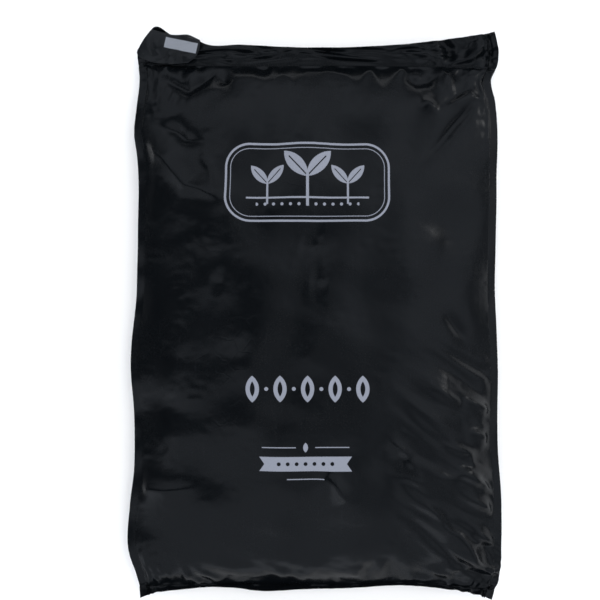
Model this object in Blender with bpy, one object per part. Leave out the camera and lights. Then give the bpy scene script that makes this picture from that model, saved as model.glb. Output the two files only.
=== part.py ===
"""A sealed pack of compost: one bag of black film, lying on its back as it would be set down.

The bag is a flattened tube of film, pressed shut by a seal across its top and its bottom. Each seal
leaves a flange of film outside it, and the creases of the flat tube stand out as a lip down both
sides. The pack can't be seen into, so film and compost are one solid.
X runs across the bag, +Y towards its top and +Z up, away from the floor. Places on the film are
given as shares, from -1 to 1: s across it, left to right, and t along it, bottom to top.
"""

from typing import NamedTuple

import bmesh
import bpy
import numpy as np

# Driving dimensions, in metres
BAG_LENGTH = 0.720  # over both flanges
BAG_WIDTH = 0.470  # at its widest
CROWN_HEIGHT = 0.150  # of the filled middle, above the floor
SIDE_LINE_HEIGHT = 0.078  # of the line where the front film turns into the back film, mid-length
SEAL_HEIGHT = 0.064  # of both seals above the floor
FLANGE_THICKNESS = 0.0024  # both films of a flange and the crumpling between them
TOP_FLANGE_CURL = 0.005  # how far the top flange's free edge stands above its seal
BOTTOM_FLANGE_SLOPE = 0.65  # the bottom flange stands up: how far it rises for each metre outwards
SIDE_LIP = 0.010  # how far the crease down each side stands out
SIDE_LIP_ROOT = 0.009  # thickness of that lip where it leaves the filled part
SIDE_BUCKLE = 0.0035  # how far the lip waves up and down
EAR_LIFT = 0.009  # how far the top right corner stands up
DOG_EAR_THICKNESS = 0.004  # the top left corner, folded forward onto the flange
FOLD_HEIGHT = 0.0055  # a fold of height 1 in FOLDS
FOLD_WIDTH = 0.0105  # a fold of width 1 in FOLDS
GATHER_HEIGHT = 0.0018  # the pleats that the seals press into the film
GATHER_PITCH = 0.043  # from pleat to pleat
GATHER_REACH = 0.050  # how far they run into the filled part
LUMP_HEIGHT = 0.0013  # the soft hills that the compost leaves in the film
LUMP_PITCH = 0.105  # from hill to hill

# How blunt the filled part is: 2 is a smooth crown, and more is closer to a box
ACROSS_POWER = 2.85
TOP_POWER = 2.7
BOTTOM_POWER = 2.65
SHOULDER_POWER = 0.92  # how steeply the front rises at its edge: less than 1 is fuller there
FULLEST = -0.12  # the share of the length where the bag is fullest
BACK_POWER = 3.0  # how blunt the back film is, which the floor presses flat
FLOOR_GRIP = 1.19  # how much of the back lies flat: 1 is only the line under the crown

# Points of the mesh: columns across the filled part, and rows along it and along each flange
COLUMNS = 48
BODY_ROWS = 60
TOP_FLANGE_ROWS = 4
BOTTOM_FLANGE_ROWS = 3

# Outline of the front film. Sides: (t, s). Seals and flange edges: (s, t).
LEFT_SIDE = (
    (-1.0, -0.935), (-0.93, -0.952), (-0.83, -1.0), (-0.66, -0.992), (-0.55, -0.971), (-0.34, -0.971),
    (-0.17, -0.988), (0.09, -0.955), (0.28, -0.950), (0.56, -0.955), (0.63, -0.971), (0.73, -0.957),
    (0.82, -0.942), (0.91, -0.955), (1.0, -0.955),
)
RIGHT_SIDE = (
    (-1.0, 0.947), (-0.93, 0.989), (-0.79, 1.0), (-0.66, 1.0), (-0.42, 0.977), (-0.23, 0.981),
    (0.10, 0.965), (0.46, 0.974), (0.75, 0.967), (0.823, 0.947), (0.88, 0.982), (0.92, 0.986), (1.0, 0.957),
)
TOP_EDGE = (
    (-1.0, 0.916), (-0.97, 0.950), (-0.92, 1.0), (-0.80, 0.981), (-0.70, 0.978), (-0.64, 0.955),
    (-0.42, 0.947), (-0.18, 0.939), (0.13, 0.937), (0.50, 0.950), (0.80, 0.971), (1.0, 0.990),
)
BOTTOM_EDGE = (
    (-1.0, -0.992), (-0.93, -0.978), (-0.78, -0.966), (-0.56, -0.957), (-0.45, -0.960), (-0.35, -0.968),
    (-0.08, -0.964), (0.19, -0.960), (0.46, -0.951), (0.70, -0.962), (0.90, -0.982), (1.0, -1.0),
)
TOP_SEAL = ((-1.0, 0.878), (-0.5, 0.872), (0.1, 0.874), (0.7, 0.868), (1.0, 0.860))
BOTTOM_SEAL = (
    (-1.0, -0.945), (-0.78, -0.938), (-0.45, -0.941), (-0.08, -0.948), (0.20, -0.948), (0.46, -0.940),
    (0.72, -0.950), (1.0, -0.972),
)

FILM_BLACK = (0.012, 0.013, 0.015, 1.0)  # as linear light
FILM_ROUGHNESS = 0.33


# Directions in degrees, pitches as shares of LUMP_PITCH and phases of the waves that add up to the hills
LUMP_WAVES = ((8, 1.0, 0.4), (51, 1.37, 2.1), (97, 0.91, 4.4), (133, 1.21, 0.9), (166, 0.78, 3.0))


class Fold(NamedTuple):
    """A ridge of the front film, or a groove where height is negative, along a route of (s, t) points."""

    route: tuple
    height: float = 1.0
    width: float = 1.0


FOLDS = (
    # The fan of ridges that rises out of the bottom right corner
    Fold(((0.949, -0.928), (0.86, -0.85), (0.765, -0.755)), 1.3),
    Fold(((0.928, -0.905), (0.831, -0.856), (0.697, -0.807)), 0.8),
    Fold(((0.874, -0.951), (0.75, -0.915), (0.633, -0.895)), 0.7, 0.8),
    Fold(((0.976, -0.80), (0.823, -0.762)), 0.8),
    Fold(((0.765, -0.762), (0.708, -0.741), (0.579, -0.65)), 1.0),
    Fold(((0.976, -0.727), (0.912, -0.674), (0.765, -0.627)), 1.0),
    Fold(((0.926, -0.608), (0.777, -0.555), (0.676, -0.564)), 1.0),
    Fold(((0.890, -0.569), (0.777, -0.527)), 0.7),
    Fold(((0.831, -0.520), (0.815, -0.482), (0.676, -0.45)), 0.9),
    Fold(((0.926, -0.440), (0.815, -0.401)), 1.0),
    Fold(((0.926, -0.344), (0.787, -0.291)), 1.0),
    Fold(((0.767, -0.317), (0.617, -0.247)), 0.8, 1.4),
    Fold(((0.558, -0.583), (0.413, -0.550)), 0.7),
    Fold(((0.515, -0.531), (0.477, -0.475), (0.402, -0.433)), 1.2, 1.1),
    Fold(((0.52, -0.49), (0.44, -0.50)), -1.0, 1.3),
    Fold(((0.799, -0.086), (0.692, 0.005)), -0.8),
    # The pulls that run down from the top right corner
    Fold(((0.901, 0.839), (0.697, 0.730)), -1.1),
    Fold(((0.853, 0.786), (0.718, 0.723)), 0.8),
    Fold(((0.895, 0.769), (0.74, 0.655), (0.590, 0.534)), -0.9, 0.8),
    Fold(((0.643, 0.702), (0.568, 0.741)), 0.9),
    Fold(((0.488, 0.835), (0.55, 0.807), (0.686, 0.835)), -1.0),
    # The V under the folded corner, and the dents below it
    Fold(((-0.901, 0.870), (-0.681, 0.779)), -1.1),
    Fold(((-0.681, 0.779), (-0.515, 0.867)), -0.9),
    Fold(((-0.515, 0.863), (-0.472, 0.797)), -1.2, 1.3),
    Fold(((-0.804, 0.653), (-0.74, 0.639), (-0.697, 0.611), (-0.622, 0.601)), -1.2),
    Fold(((-0.906, 0.604), (-0.788, 0.541), (-0.681, 0.447), (-0.617, 0.436), (-0.50, 0.401)), 1.4, 1.8),
    Fold(((-0.60, 0.56), (-0.55, 0.50), (-0.53, 0.43)), 0.8, 1.4),
    # The crease across the lower left, and a dent below the middle
    Fold(((-0.955, -0.605), (-0.80, -0.613), (-0.617, -0.594)), 0.6, 2.0),
    Fold(((0.03, -0.545), (0.10, -0.615)), 0.8, 1.3),
    # Broad dents in the middle of the front
    Fold(((-0.08, 0.25), (0.02, 0.23)), -0.6, 3.0),
    Fold(((-0.03, 0.12), (0.06, 0.12)), -0.6, 3.0),
    Fold(((-0.55, 0.12), (-0.48, 0.10)), -0.5, 2.6),
)


def smooth_line(at, points):
    """The value, at each place in at, of a smooth curve through points: pairs of place and value."""
    places, values = np.array(points, float).T
    slopes = np.gradient(values, places)
    low = np.clip(np.searchsorted(places, at, side="right") - 1, 0, len(places) - 2)
    step = places[low + 1] - places[low]
    u = np.clip((at - places[low]) / step, 0.0, 1.0)
    from_low = (1.0 + 2.0 * u) * (1.0 - u) ** 2 * values[low]
    from_high = (3.0 - 2.0 * u) * u**2 * values[low + 1]
    bend = u * (1.0 - u) * ((1.0 - u) * slopes[low] - u * slopes[low + 1]) * step
    return from_low + from_high + bend


def crown(share, power):
    """A crown: 1 at the middle, 0 at shares -1 and 1, and steepest where it meets them."""
    return np.maximum(1.0 - np.abs(share) ** power, 0.0) ** SHOULDER_POWER


def arch(share, power):
    """A flat-topped arch: 1 at the middle, 0 at shares -1 and 1, and upright where it meets them."""
    return np.maximum(1.0 - np.abs(share) ** power, 0.0) ** (1.0 / power)


def even_shares(count, rise):
    """Shares from -1 to 1, spaced evenly along an arch that is rise times its half width high."""
    share = -np.cos(np.linspace(0.0, np.pi, 4001))
    height = rise * arch(share, BACK_POWER)
    run = np.concatenate([[0.0], np.cumsum(np.hypot(np.diff(share), np.diff(height)))])
    return np.interp(np.linspace(0.0, run[-1], count), run, share)


def distance_and_run(x, y, route):
    """How far each point (x, y) is from a route, and how far along it, as a share, its nearest place is."""
    corners = np.array(route)
    lengths = np.hypot(*np.diff(corners, axis=0).T)
    nearest = np.full(x.shape, np.inf)
    run = np.zeros(x.shape)
    passed = 0.0
    for start, end, length in zip(corners[:-1], corners[1:], lengths):
        way = (end - start) / length
        along = np.clip((x - start[0]) * way[0] + (y - start[1]) * way[1], 0.0, length)
        off = np.hypot(x - start[0] - along * way[0], y - start[1] - along * way[1])
        closer = off < nearest
        nearest = np.where(closer, off, nearest)
        run = np.where(closer, (passed + along) / lengths.sum(), run)
        passed += length
    return nearest, run


def fold_relief(x, y):
    """Height of FOLDS at each point: each is a bell across its route and dies away at its two ends."""
    relief = np.zeros(x.shape)
    for fold in FOLDS:
        route = [(s * BAG_WIDTH / 2, t * BAG_LENGTH / 2) for s, t in fold.route]
        off, run = distance_and_run(x, y, route)
        fade = np.sin(np.pi * np.clip(0.12 + 0.76 * run, 0.0, 1.0))
        relief += fold.height * FOLD_HEIGHT * fade * np.exp(-((off / (fold.width * FOLD_WIDTH)) ** 2))
    return relief


def lump_relief(x, y):
    """Soft uneven hills: the sum of slow waves that run in LUMP_WAVES directions, each with its own pitch."""
    relief = np.zeros(x.shape)
    for degrees, pitch, phase in LUMP_WAVES:
        turn = np.radians(degrees)
        along = x * np.cos(turn) + y * np.sin(turn)
        relief += np.sin(2.0 * np.pi * along / (pitch * LUMP_PITCH) + phase)
    return LUMP_HEIGHT * relief


def gather_relief(x, end_distance):
    """Pleats that run out of a seal: waves across the bag that die away over GATHER_REACH."""
    turn = 2.0 * np.pi * x / GATHER_PITCH
    waves = np.sin(turn + 1.3 * np.sin(0.37 * turn)) + 0.5 * np.sin(1.7 * turn + 1.0)
    near = np.clip(1.0 - end_distance / GATHER_REACH, 0.0, 1.0)
    return GATHER_HEIGHT * waves * near**1.5


def lip_start():
    """The share across at which the filled part ends and the lip begins."""
    return 1.0 - SIDE_LIP / (BAG_WIDTH / 2)


def film_places():
    """s across, the share of the filled part along it, and the share along each flange, as one grid."""
    filled_columns = even_shares(COLUMNS, SIDE_LINE_HEIGHT / (BAG_WIDTH / 2))
    s = np.concatenate([[-1.0], filled_columns * lip_start(), [1.0]])
    body = even_shares(BODY_ROWS, SEAL_HEIGHT / (BAG_LENGTH / 2))
    bottom = np.linspace(1.0, 0.0, BOTTOM_FLANGE_ROWS, endpoint=False)
    top = np.linspace(1.0, 0.0, TOP_FLANGE_ROWS, endpoint=False)[::-1]
    filled = np.concatenate([np.full(len(bottom), -1.0), body, np.full(len(top), 1.0)])
    flange = np.concatenate([-bottom, np.zeros(len(body)), top])
    filled, s_grid = np.meshgrid(filled, s, indexing="ij")
    flange, _ = np.meshgrid(flange, s, indexing="ij")
    return s_grid, filled, flange


def plan(s, filled, flange):
    """Where each place of the film lies in plan: x and y in metres."""
    low_seal = smooth_line(s, BOTTOM_SEAL)
    high_seal = smooth_line(s, TOP_SEAL)
    t = low_seal + (high_seal - low_seal) * (filled + 1.0) / 2.0
    t = t + np.maximum(flange, 0.0) * (smooth_line(s, TOP_EDGE) - high_seal)
    t = t + np.maximum(-flange, 0.0) * (smooth_line(s, BOTTOM_EDGE) - low_seal)
    left = smooth_line(t, LEFT_SIDE)
    right = smooth_line(t, RIGHT_SIDE)
    x = (left + (right - left) * (s + 1.0) / 2.0) * BAG_WIDTH / 2
    return x, t * BAG_LENGTH / 2


def fullness(s, filled):
    """How far the front film is raised at each place, from 0 at its edge to 1 where the bag is fullest."""
    across = crown(np.clip(s / lip_start(), -1.0, 1.0), ACROSS_POWER)
    below = (filled - FULLEST) / (1.0 + FULLEST)
    above = (filled - FULLEST) / (1.0 - FULLEST)
    return across * np.where(filled < FULLEST, crown(below, BOTTOM_POWER), crown(above, TOP_POWER))


def back_fullness(s, filled):
    """The same for the back film, which bulges out to its edge before it turns down to the floor."""
    return arch(np.clip(s / lip_start(), -1.0, 1.0), BACK_POWER) * arch(filled, BACK_POWER)


def edge_height(s, filled, flange):
    """Height of the line where the two films meet, and of the flanges that carry it on."""
    height = SEAL_HEIGHT + (SIDE_LINE_HEIGHT - SEAL_HEIGHT) * (1.0 - filled**4)
    top = np.maximum(flange, 0.0)
    bottom = np.maximum(-flange, 0.0)
    reach = (smooth_line(s, BOTTOM_SEAL) - smooth_line(s, BOTTOM_EDGE)) * BAG_LENGTH / 2
    height = height + TOP_FLANGE_CURL * top**2 + BOTTOM_FLANGE_SLOPE * bottom * reach
    buckles = np.sin(17.0 * filled + 2.0 * s) + 0.6 * np.sin(29.0 * filled + 1.0 - s)
    height = height + SIDE_BUCKLE * buckles * np.abs(s) ** 9 * (1.0 - filled**4)
    return height + EAR_LIFT * top * np.clip((s - 0.6) / 0.4, 0.0, 1.0) ** 2


def edge_thickness(s, filled):
    """Thickness of the flanges and lips: a lip is thickest where it leaves the filled part."""
    lip = np.clip((1.0 - np.abs(s)) / (1.0 - lip_start()), 0.0, 1.0)
    return FLANGE_THICKNESS + (SIDE_LIP_ROOT - FLANGE_THICKNESS) * lip * (1.0 - filled**6)


def dog_ear(s, flange):
    """1 where the folded top left corner lies on the flange, falling to 0 round it."""
    across = np.clip((-0.60 - s) / 0.06, 0.0, 1.0)
    along = np.clip(flange / 0.25, 0.0, 1.0)
    return across * along


def front_and_back():
    """The points of the front film and of the back film, each an array of rows, columns and x, y, z."""
    s, filled, flange = film_places()
    x, y = plan(s, filled, flange)
    full = fullness(s, filled)
    edge = edge_height(s, filled, flange)
    half = edge_thickness(s, filled) / 2
    on_body = np.clip(full / 0.35, 0.0, 1.0)
    end_distance = (1.0 - np.abs(filled)) * BAG_LENGTH / 2
    relief = on_body * (fold_relief(x, y) + lump_relief(x, y)) + arch(s, 8.0) * gather_relief(x, end_distance)
    front = edge + half + (CROWN_HEIGHT - edge - half) * full + relief
    front = front + DOG_EAR_THICKNESS * dog_ear(s, flange)
    ripple = 0.5 * arch(s, 8.0) * gather_relief(x, end_distance)
    off_floor = np.maximum(1.0 - FLOOR_GRIP * back_fullness(s, filled), 0.0)
    back = (edge - half) * off_floor**2 + ripple * off_floor
    return np.stack([x, y, front], axis=-1), np.stack([x, y, back], axis=-1)


def centred(front, back):
    """Both films, with the middle of their base moved to the origin, at the full length and width."""
    both = np.concatenate([front.reshape(-1, 3), back.reshape(-1, 3)])
    low = both.min(axis=0)
    high = both.max(axis=0)
    middle = np.array([(low[0] + high[0]) / 2, (low[1] + high[1]) / 2, low[2]])
    scale = np.array([BAG_WIDTH / (high[0] - low[0]), BAG_LENGTH / (high[1] - low[1]), 1.0])
    return (front - middle) * scale, (back - middle) * scale


def film_material():
    """Black film, half glossy."""
    material = bpy.data.materials.new("black_film")
    material.use_nodes = True
    shader = material.node_tree.nodes["Principled BSDF"]
    shader.inputs["Base Color"].default_value = FILM_BLACK
    shader.inputs["Roughness"].default_value = FILM_ROUGHNESS
    shader.inputs["Metallic"].default_value = 0.0
    material.diffuse_color = FILM_BLACK
    return material


def sheet_faces(bm, points, upwards):
    """Adds a grid of points with the faces between them, and returns its vertices."""
    rows, columns, _ = points.shape
    grid = [[bm.verts.new(points[r, c]) for c in range(columns)] for r in range(rows)]
    for r in range(rows - 1):
        for c in range(columns - 1):
            corners = [grid[r][c], grid[r][c + 1], grid[r + 1][c + 1], grid[r + 1][c]]
            bm.faces.new(corners if upwards else corners[::-1])
    return grid


def rim(grid):
    """The vertices round a grid, counter-clockwise from above."""
    bottom = grid[0]
    right = [row[-1] for row in grid[1:]]
    top = grid[-1][-2::-1]
    left = [row[0] for row in grid[-2:0:-1]]
    return bottom + right + top + left


def make_bag():
    """The filled bag as one closed solid: the part of its back that lies on the floor is one flat face."""
    front, back = centred(*front_and_back())
    bm = bmesh.new()
    front_rim = rim(sheet_faces(bm, front, upwards=True))
    back_rim = rim(sheet_faces(bm, back, upwards=False))
    for i, (high, low) in enumerate(zip(front_rim, back_rim)):
        bm.faces.new([high, front_rim[i - 1], back_rim[i - 1], low])
    on_floor = [face for face in bm.faces if all(vert.co.z == 0.0 for vert in face.verts)]
    bmesh.ops.dissolve_faces(bm, faces=on_floor, use_verts=True)
    mesh = bpy.data.meshes.new("bag")
    bm.to_mesh(mesh)
    bm.free()
    mesh.shade_smooth()
    bag = bpy.data.objects.new("bag", mesh)
    bag.data.materials.append(film_material())
    bpy.context.scene.collection.objects.link(bag)
    return bag


def main():
    """Clears the scene and makes the bag."""
    for old in list(bpy.data.objects):
        bpy.data.objects.remove(old)
    make_bag()


main()
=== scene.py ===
"""A sealed bag of compost, lying on its back and seen from straight above.

The film is one closed tube of points. It starts on the smooth form of the filled bag, is given the
slack that a flat tube has once it is filled, and settles into wrinkles where it is too long. Its
look comes from nodes: black film, scuffs, crinkles and a plain print of leaves, seeds and a banner.
Lengths are in metres. s is the share across the bag from -1 to 1, and t the share along it.
"""

from __future__ import annotations

import logging
from dataclasses import dataclass, field

import bmesh
import bpy
import numpy as np
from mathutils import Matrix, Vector


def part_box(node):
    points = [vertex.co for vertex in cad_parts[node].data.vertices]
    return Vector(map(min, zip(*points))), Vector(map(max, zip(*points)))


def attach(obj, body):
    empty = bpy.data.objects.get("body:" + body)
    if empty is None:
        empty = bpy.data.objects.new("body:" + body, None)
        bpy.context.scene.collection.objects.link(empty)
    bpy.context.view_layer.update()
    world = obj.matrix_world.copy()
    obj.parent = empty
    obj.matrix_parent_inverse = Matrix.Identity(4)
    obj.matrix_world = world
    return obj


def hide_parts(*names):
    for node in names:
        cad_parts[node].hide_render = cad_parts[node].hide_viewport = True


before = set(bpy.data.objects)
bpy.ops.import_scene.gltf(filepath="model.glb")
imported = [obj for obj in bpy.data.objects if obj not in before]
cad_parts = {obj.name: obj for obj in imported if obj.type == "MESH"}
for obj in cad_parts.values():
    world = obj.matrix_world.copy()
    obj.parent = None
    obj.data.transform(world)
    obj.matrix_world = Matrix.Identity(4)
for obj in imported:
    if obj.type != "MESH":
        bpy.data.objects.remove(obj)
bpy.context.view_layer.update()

Array = np.ndarray
Span = tuple[float, float]
Pairs = tuple[tuple[float, float], ...]
LOG = logging.getLogger("compost_bag")

# Cells of the film's coarsest grid: across the filled part and a lip, and along it and both flanges
COLUMNS, LIP_COLUMNS = 46, 2
ROWS, LOW_ROWS, HIGH_ROWS = 78, 3, 6

# Heights over the floor, in metres, above which film has its full relief and below which it lies on it
NEAR_FLOOR, ON_FLOOR = 0.02, 1e-4

# How far along a half wave a fold starts and stops, and how round its crest is for its width
FOLD_START, CREST = 0.10, 0.22

# Straight steps that stand in for an arch while its length is measured
ARCH_STEPS = 4000

# Angle between two faces, in degrees, above which their edge is kept sharp
SHARP_ANGLE = 70.0

# The UV map of the print: where the bag's middle lies, and how far films without print are moved
PRINT_MIDDLE, OFF_PRINT = 0.5, 2.0


def smooth_line(at: Array, points: Pairs) -> Array:
    """A smooth curve through points: a cubic between neighbours, with the mean slope at each point.

    Args:
        at: Places at which the curve is wanted.
        points: Pairs of place and value, in rising order of place.

    Returns:
        The curve's value at each place.
    """
    places, values = np.array(points, float).T
    slopes = np.gradient(values, places)
    low = np.clip(np.searchsorted(places, at, side="right") - 1, 0, len(places) - 2)
    step = places[low + 1] - places[low]
    u = np.clip((at - places[low]) / step, 0.0, 1.0)
    from_low = (1.0 + 2.0 * u) * (1.0 - u) ** 2 * values[low]
    from_high = (3.0 - 2.0 * u) * u**2 * values[low + 1]
    bend = u * (1.0 - u) * ((1.0 - u) * slopes[low] - u * slopes[low + 1]) * step
    return from_low + from_high + bend


def arch(share: Array, power: float) -> Array:
    """A flat-topped arch, (1 - |share|^power)^(1/power): 1 at the middle and 0 at shares -1 and 1."""
    return np.maximum(1.0 - np.abs(share) ** power, 0.0) ** (1.0 / power)


def even_shares(count: int, power: float, rise: float) -> Array:
    """Shares from -1 to 1, evenly spaced along an arch.

    Args:
        count: How many shares.
        power: The arch's power.
        rise: The arch's height over its half width.

    Returns:
        The shares, in rising order.
    """
    share = -np.cos(np.linspace(0.0, np.pi, ARCH_STEPS + 1))
    height = rise * arch(share, power)
    run = np.concatenate([[0.0], np.cumsum(np.hypot(np.diff(share), np.diff(height)))])
    return np.interp(np.linspace(0.0, run[-1], count), run, share)


def random_waves(u: Array, v: Array, pitch: float, seed: int, count: int = 40) -> Array:
    """Soft random hills: a sum of waves in random directions whose lengths lie around pitch.

    Args:
        u: First coordinate of each place, in metres.
        v: Second coordinate of each place, in metres.
        pitch: Typical distance from hill to hill.
        seed: Seed of the random directions, lengths and phases.
        count: How many waves are added.

    Returns:
        Heights with a spread of 1.
    """
    chance = np.random.default_rng(seed)
    height = np.zeros(u.shape)
    for _ in range(count):
        turn = chance.uniform(0.0, 2.0 * np.pi)
        pace = 2.0 * np.pi / (pitch * chance.uniform(0.75, 1.45))
        height += np.sin(pace * (u * np.cos(turn) + v * np.sin(turn)) + chance.uniform(0.0, 2.0 * np.pi))
    return height * np.sqrt(2.0 / count)


def facets(u: Array, v: Array, pitch: float, seed: int, swing: float = np.pi, count: int = 5) -> Array:
    """Crumpled film: triangle waves in several directions added up, so that flat facets meet in creases.

    The places are first shifted by soft random hills, so that no crease is straight.

    Args:
        u: First coordinate of each place, in metres.
        v: Second coordinate of each place, in metres.
        pitch: Typical length of a wave.
        seed: Seed of the random directions, lengths and phases.
        swing: How far the waves' directions turn from the second coordinate's, either way.
        count: How many waves are added.

    Returns:
        Heights with a spread of 1.
    """
    chance = np.random.default_rng(seed)
    shift, shift_pitch = 0.22 * pitch, 2.6 * pitch
    u = u + shift * random_waves(u, v, shift_pitch, seed + 1000, 12)
    v = v + shift * random_waves(u, v, shift_pitch, seed + 2000, 12)
    height = np.zeros(u.shape)
    for _ in range(count):
        turn = chance.uniform(-swing, swing)
        wave = (u * np.sin(turn) + v * np.cos(turn)) / (pitch * chance.uniform(0.7, 1.6)) + chance.uniform()
        height += 4.0 * np.abs(wave - np.floor(wave + 0.5)) - 1.0
    return height * np.sqrt(3.0 / count)


def ramp(values: Array, start: float, end: float | Array) -> Array:
    """0 up to start and 1 from end on, with a smooth rise between: 3 share^2 - 2 share^3.

    Args:
        values: Where the ramp is wanted.
        start: The value at which it is 0.
        end: The value at which it is 1, which may lie below start.

    Returns:
        The ramp's height at each value.
    """
    share = np.clip((values - start) / (end - start), 0.0, 1.0)
    return share * share * (3.0 - 2.0 * share)


def lengths_between(a: Array, b: Array) -> Array:
    """Distance from each point of a to the same one of b."""
    return np.sqrt(np.sum((b - a) ** 2, axis=-1))


@dataclass(frozen=True)
class Fold:
    """A ridge of the front film, or a groove where height is negative, along a route of (s, t) points."""

    route: Pairs
    height: float = 1.0
    width: float = 1.0

    def distance_and_run(self, x: Array, y: Array, half: tuple[float, float]) -> tuple[Array, Array]:
        """Where each point lies beside the route.

        Args:
            x: Place across, in metres.
            y: Place along, in metres.
            half: The bag's half width and half length.

        Returns:
            The distance from the route, and the share of the route passed at its nearest place.
        """
        corners = np.array(self.route) * np.array(half)
        lengths = np.hypot(*np.diff(corners, axis=0).T)
        nearest = np.full(x.shape, np.inf)
        run = np.zeros(x.shape)
        passed = 0.0
        for start, end, length in zip(corners[:-1], corners[1:], lengths):
            way = (end - start) / length
            along = np.clip((x - start[0]) * way[0] + (y - start[1]) * way[1], 0.0, length)
            off = np.hypot(x - start[0] - along * way[0], y - start[1] - along * way[1])
            closer = off < nearest
            nearest = np.where(closer, off, nearest)
            run = np.where(closer, (passed + along) / lengths.sum(), run)
            passed += length
        return nearest, run

    def relief(self, x: Array, y: Array, half: tuple[float, float], width: float) -> Array:
        """A creased ridge that dies away at both ends: height * exp(-distance / width), rounded on top.

        Args:
            x: Place across, in metres.
            y: Place along, in metres.
            half: The bag's half width and half length.
            width: The width of a fold whose own width is 1.

        Returns:
            The fold's height at each place, as a share of the height that all folds are scaled by.
        """
        off, run = self.distance_and_run(x, y, half)
        fade = np.sin(np.pi * np.clip(FOLD_START + (1.0 - 2.0 * FOLD_START) * run, 0.0, 1.0))
        rounding = CREST * width
        off = np.sqrt(off**2 + rounding**2) - rounding
        return self.height * fade * np.exp(-off / (self.width * width))


FOLDS = (
    # The fan of ridges that rises out of the bottom right corner
    Fold(((0.949, -0.928), (0.86, -0.85), (0.765, -0.755)), 1.3),
    Fold(((0.928, -0.905), (0.831, -0.856), (0.697, -0.807)), 0.8),
    Fold(((0.874, -0.951), (0.75, -0.915), (0.633, -0.895)), 0.7, 0.8),
    Fold(((0.976, -0.80), (0.823, -0.762)), 0.8),
    Fold(((0.765, -0.762), (0.708, -0.741), (0.579, -0.65)), 1.0),
    Fold(((0.976, -0.727), (0.912, -0.674), (0.765, -0.627)), 1.0),
    Fold(((0.926, -0.608), (0.777, -0.555), (0.676, -0.564)), 1.0),
    Fold(((0.890, -0.569), (0.777, -0.527)), 0.7),
    Fold(((0.831, -0.520), (0.815, -0.482), (0.676, -0.45)), 0.9),
    Fold(((0.926, -0.440), (0.815, -0.401)), 1.0),
    Fold(((0.926, -0.344), (0.787, -0.291)), 1.0),
    Fold(((0.767, -0.317), (0.617, -0.247)), 0.8, 1.4),
    Fold(((0.558, -0.583), (0.413, -0.550)), 0.7),
    Fold(((0.515, -0.531), (0.477, -0.475), (0.402, -0.433)), 1.2, 1.1),
    Fold(((0.52, -0.49), (0.44, -0.50)), -1.0, 1.3),
    Fold(((0.799, -0.086), (0.692, 0.005)), -0.8),
    # The pulls that run down from the top right corner
    Fold(((0.901, 0.839), (0.697, 0.730)), -1.1),
    Fold(((0.853, 0.786), (0.718, 0.723)), 0.8),
    Fold(((0.895, 0.769), (0.74, 0.655), (0.590, 0.534)), -0.9, 0.8),
    Fold(((0.643, 0.702), (0.568, 0.741)), 0.9),
    Fold(((0.488, 0.835), (0.55, 0.807), (0.686, 0.835)), -1.0),
    # The V under the folded corner, and the dents below it
    Fold(((-0.901, 0.862), (-0.681, 0.779)), -1.6, 0.8),
    Fold(((-0.681, 0.779), (-0.515, 0.860)), -1.4, 0.8),
    Fold(((-0.515, 0.863), (-0.472, 0.797)), -1.2, 1.3),
    Fold(((-0.804, 0.653), (-0.74, 0.639), (-0.697, 0.611), (-0.622, 0.601)), -1.2),
    Fold(((-0.906, 0.604), (-0.788, 0.541), (-0.681, 0.447), (-0.617, 0.436), (-0.50, 0.401)), 1.7, 2.0),
    Fold(((-0.60, 0.56), (-0.55, 0.50), (-0.53, 0.43)), 0.8, 1.4),
    # The crease across the lower left, and a dent below the middle
    Fold(((-0.955, -0.605), (-0.80, -0.613), (-0.617, -0.594)), 0.8, 2.2),
    Fold(((0.08, -0.545), (0.16, -0.640)), 1.5, 1.7),
    # Broad dents in the middle of the front
    Fold(((-0.08, 0.25), (0.02, 0.23)), -0.5, 3.0),
    Fold(((-0.03, 0.12), (0.06, 0.12)), -0.5, 3.0),
    Fold(((-0.55, 0.12), (-0.48, 0.10)), -0.4, 2.6),
)


# The soft hills of the contents: directions in degrees, pitches in metres and phases of waves that add up
HILL_WAVES = ((8, 0.1050, 0.4), (51, 0.1439, 2.1), (97, 0.0956, 4.4), (133, 0.1271, 0.9), (166, 0.0819, 3.0))


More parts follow.
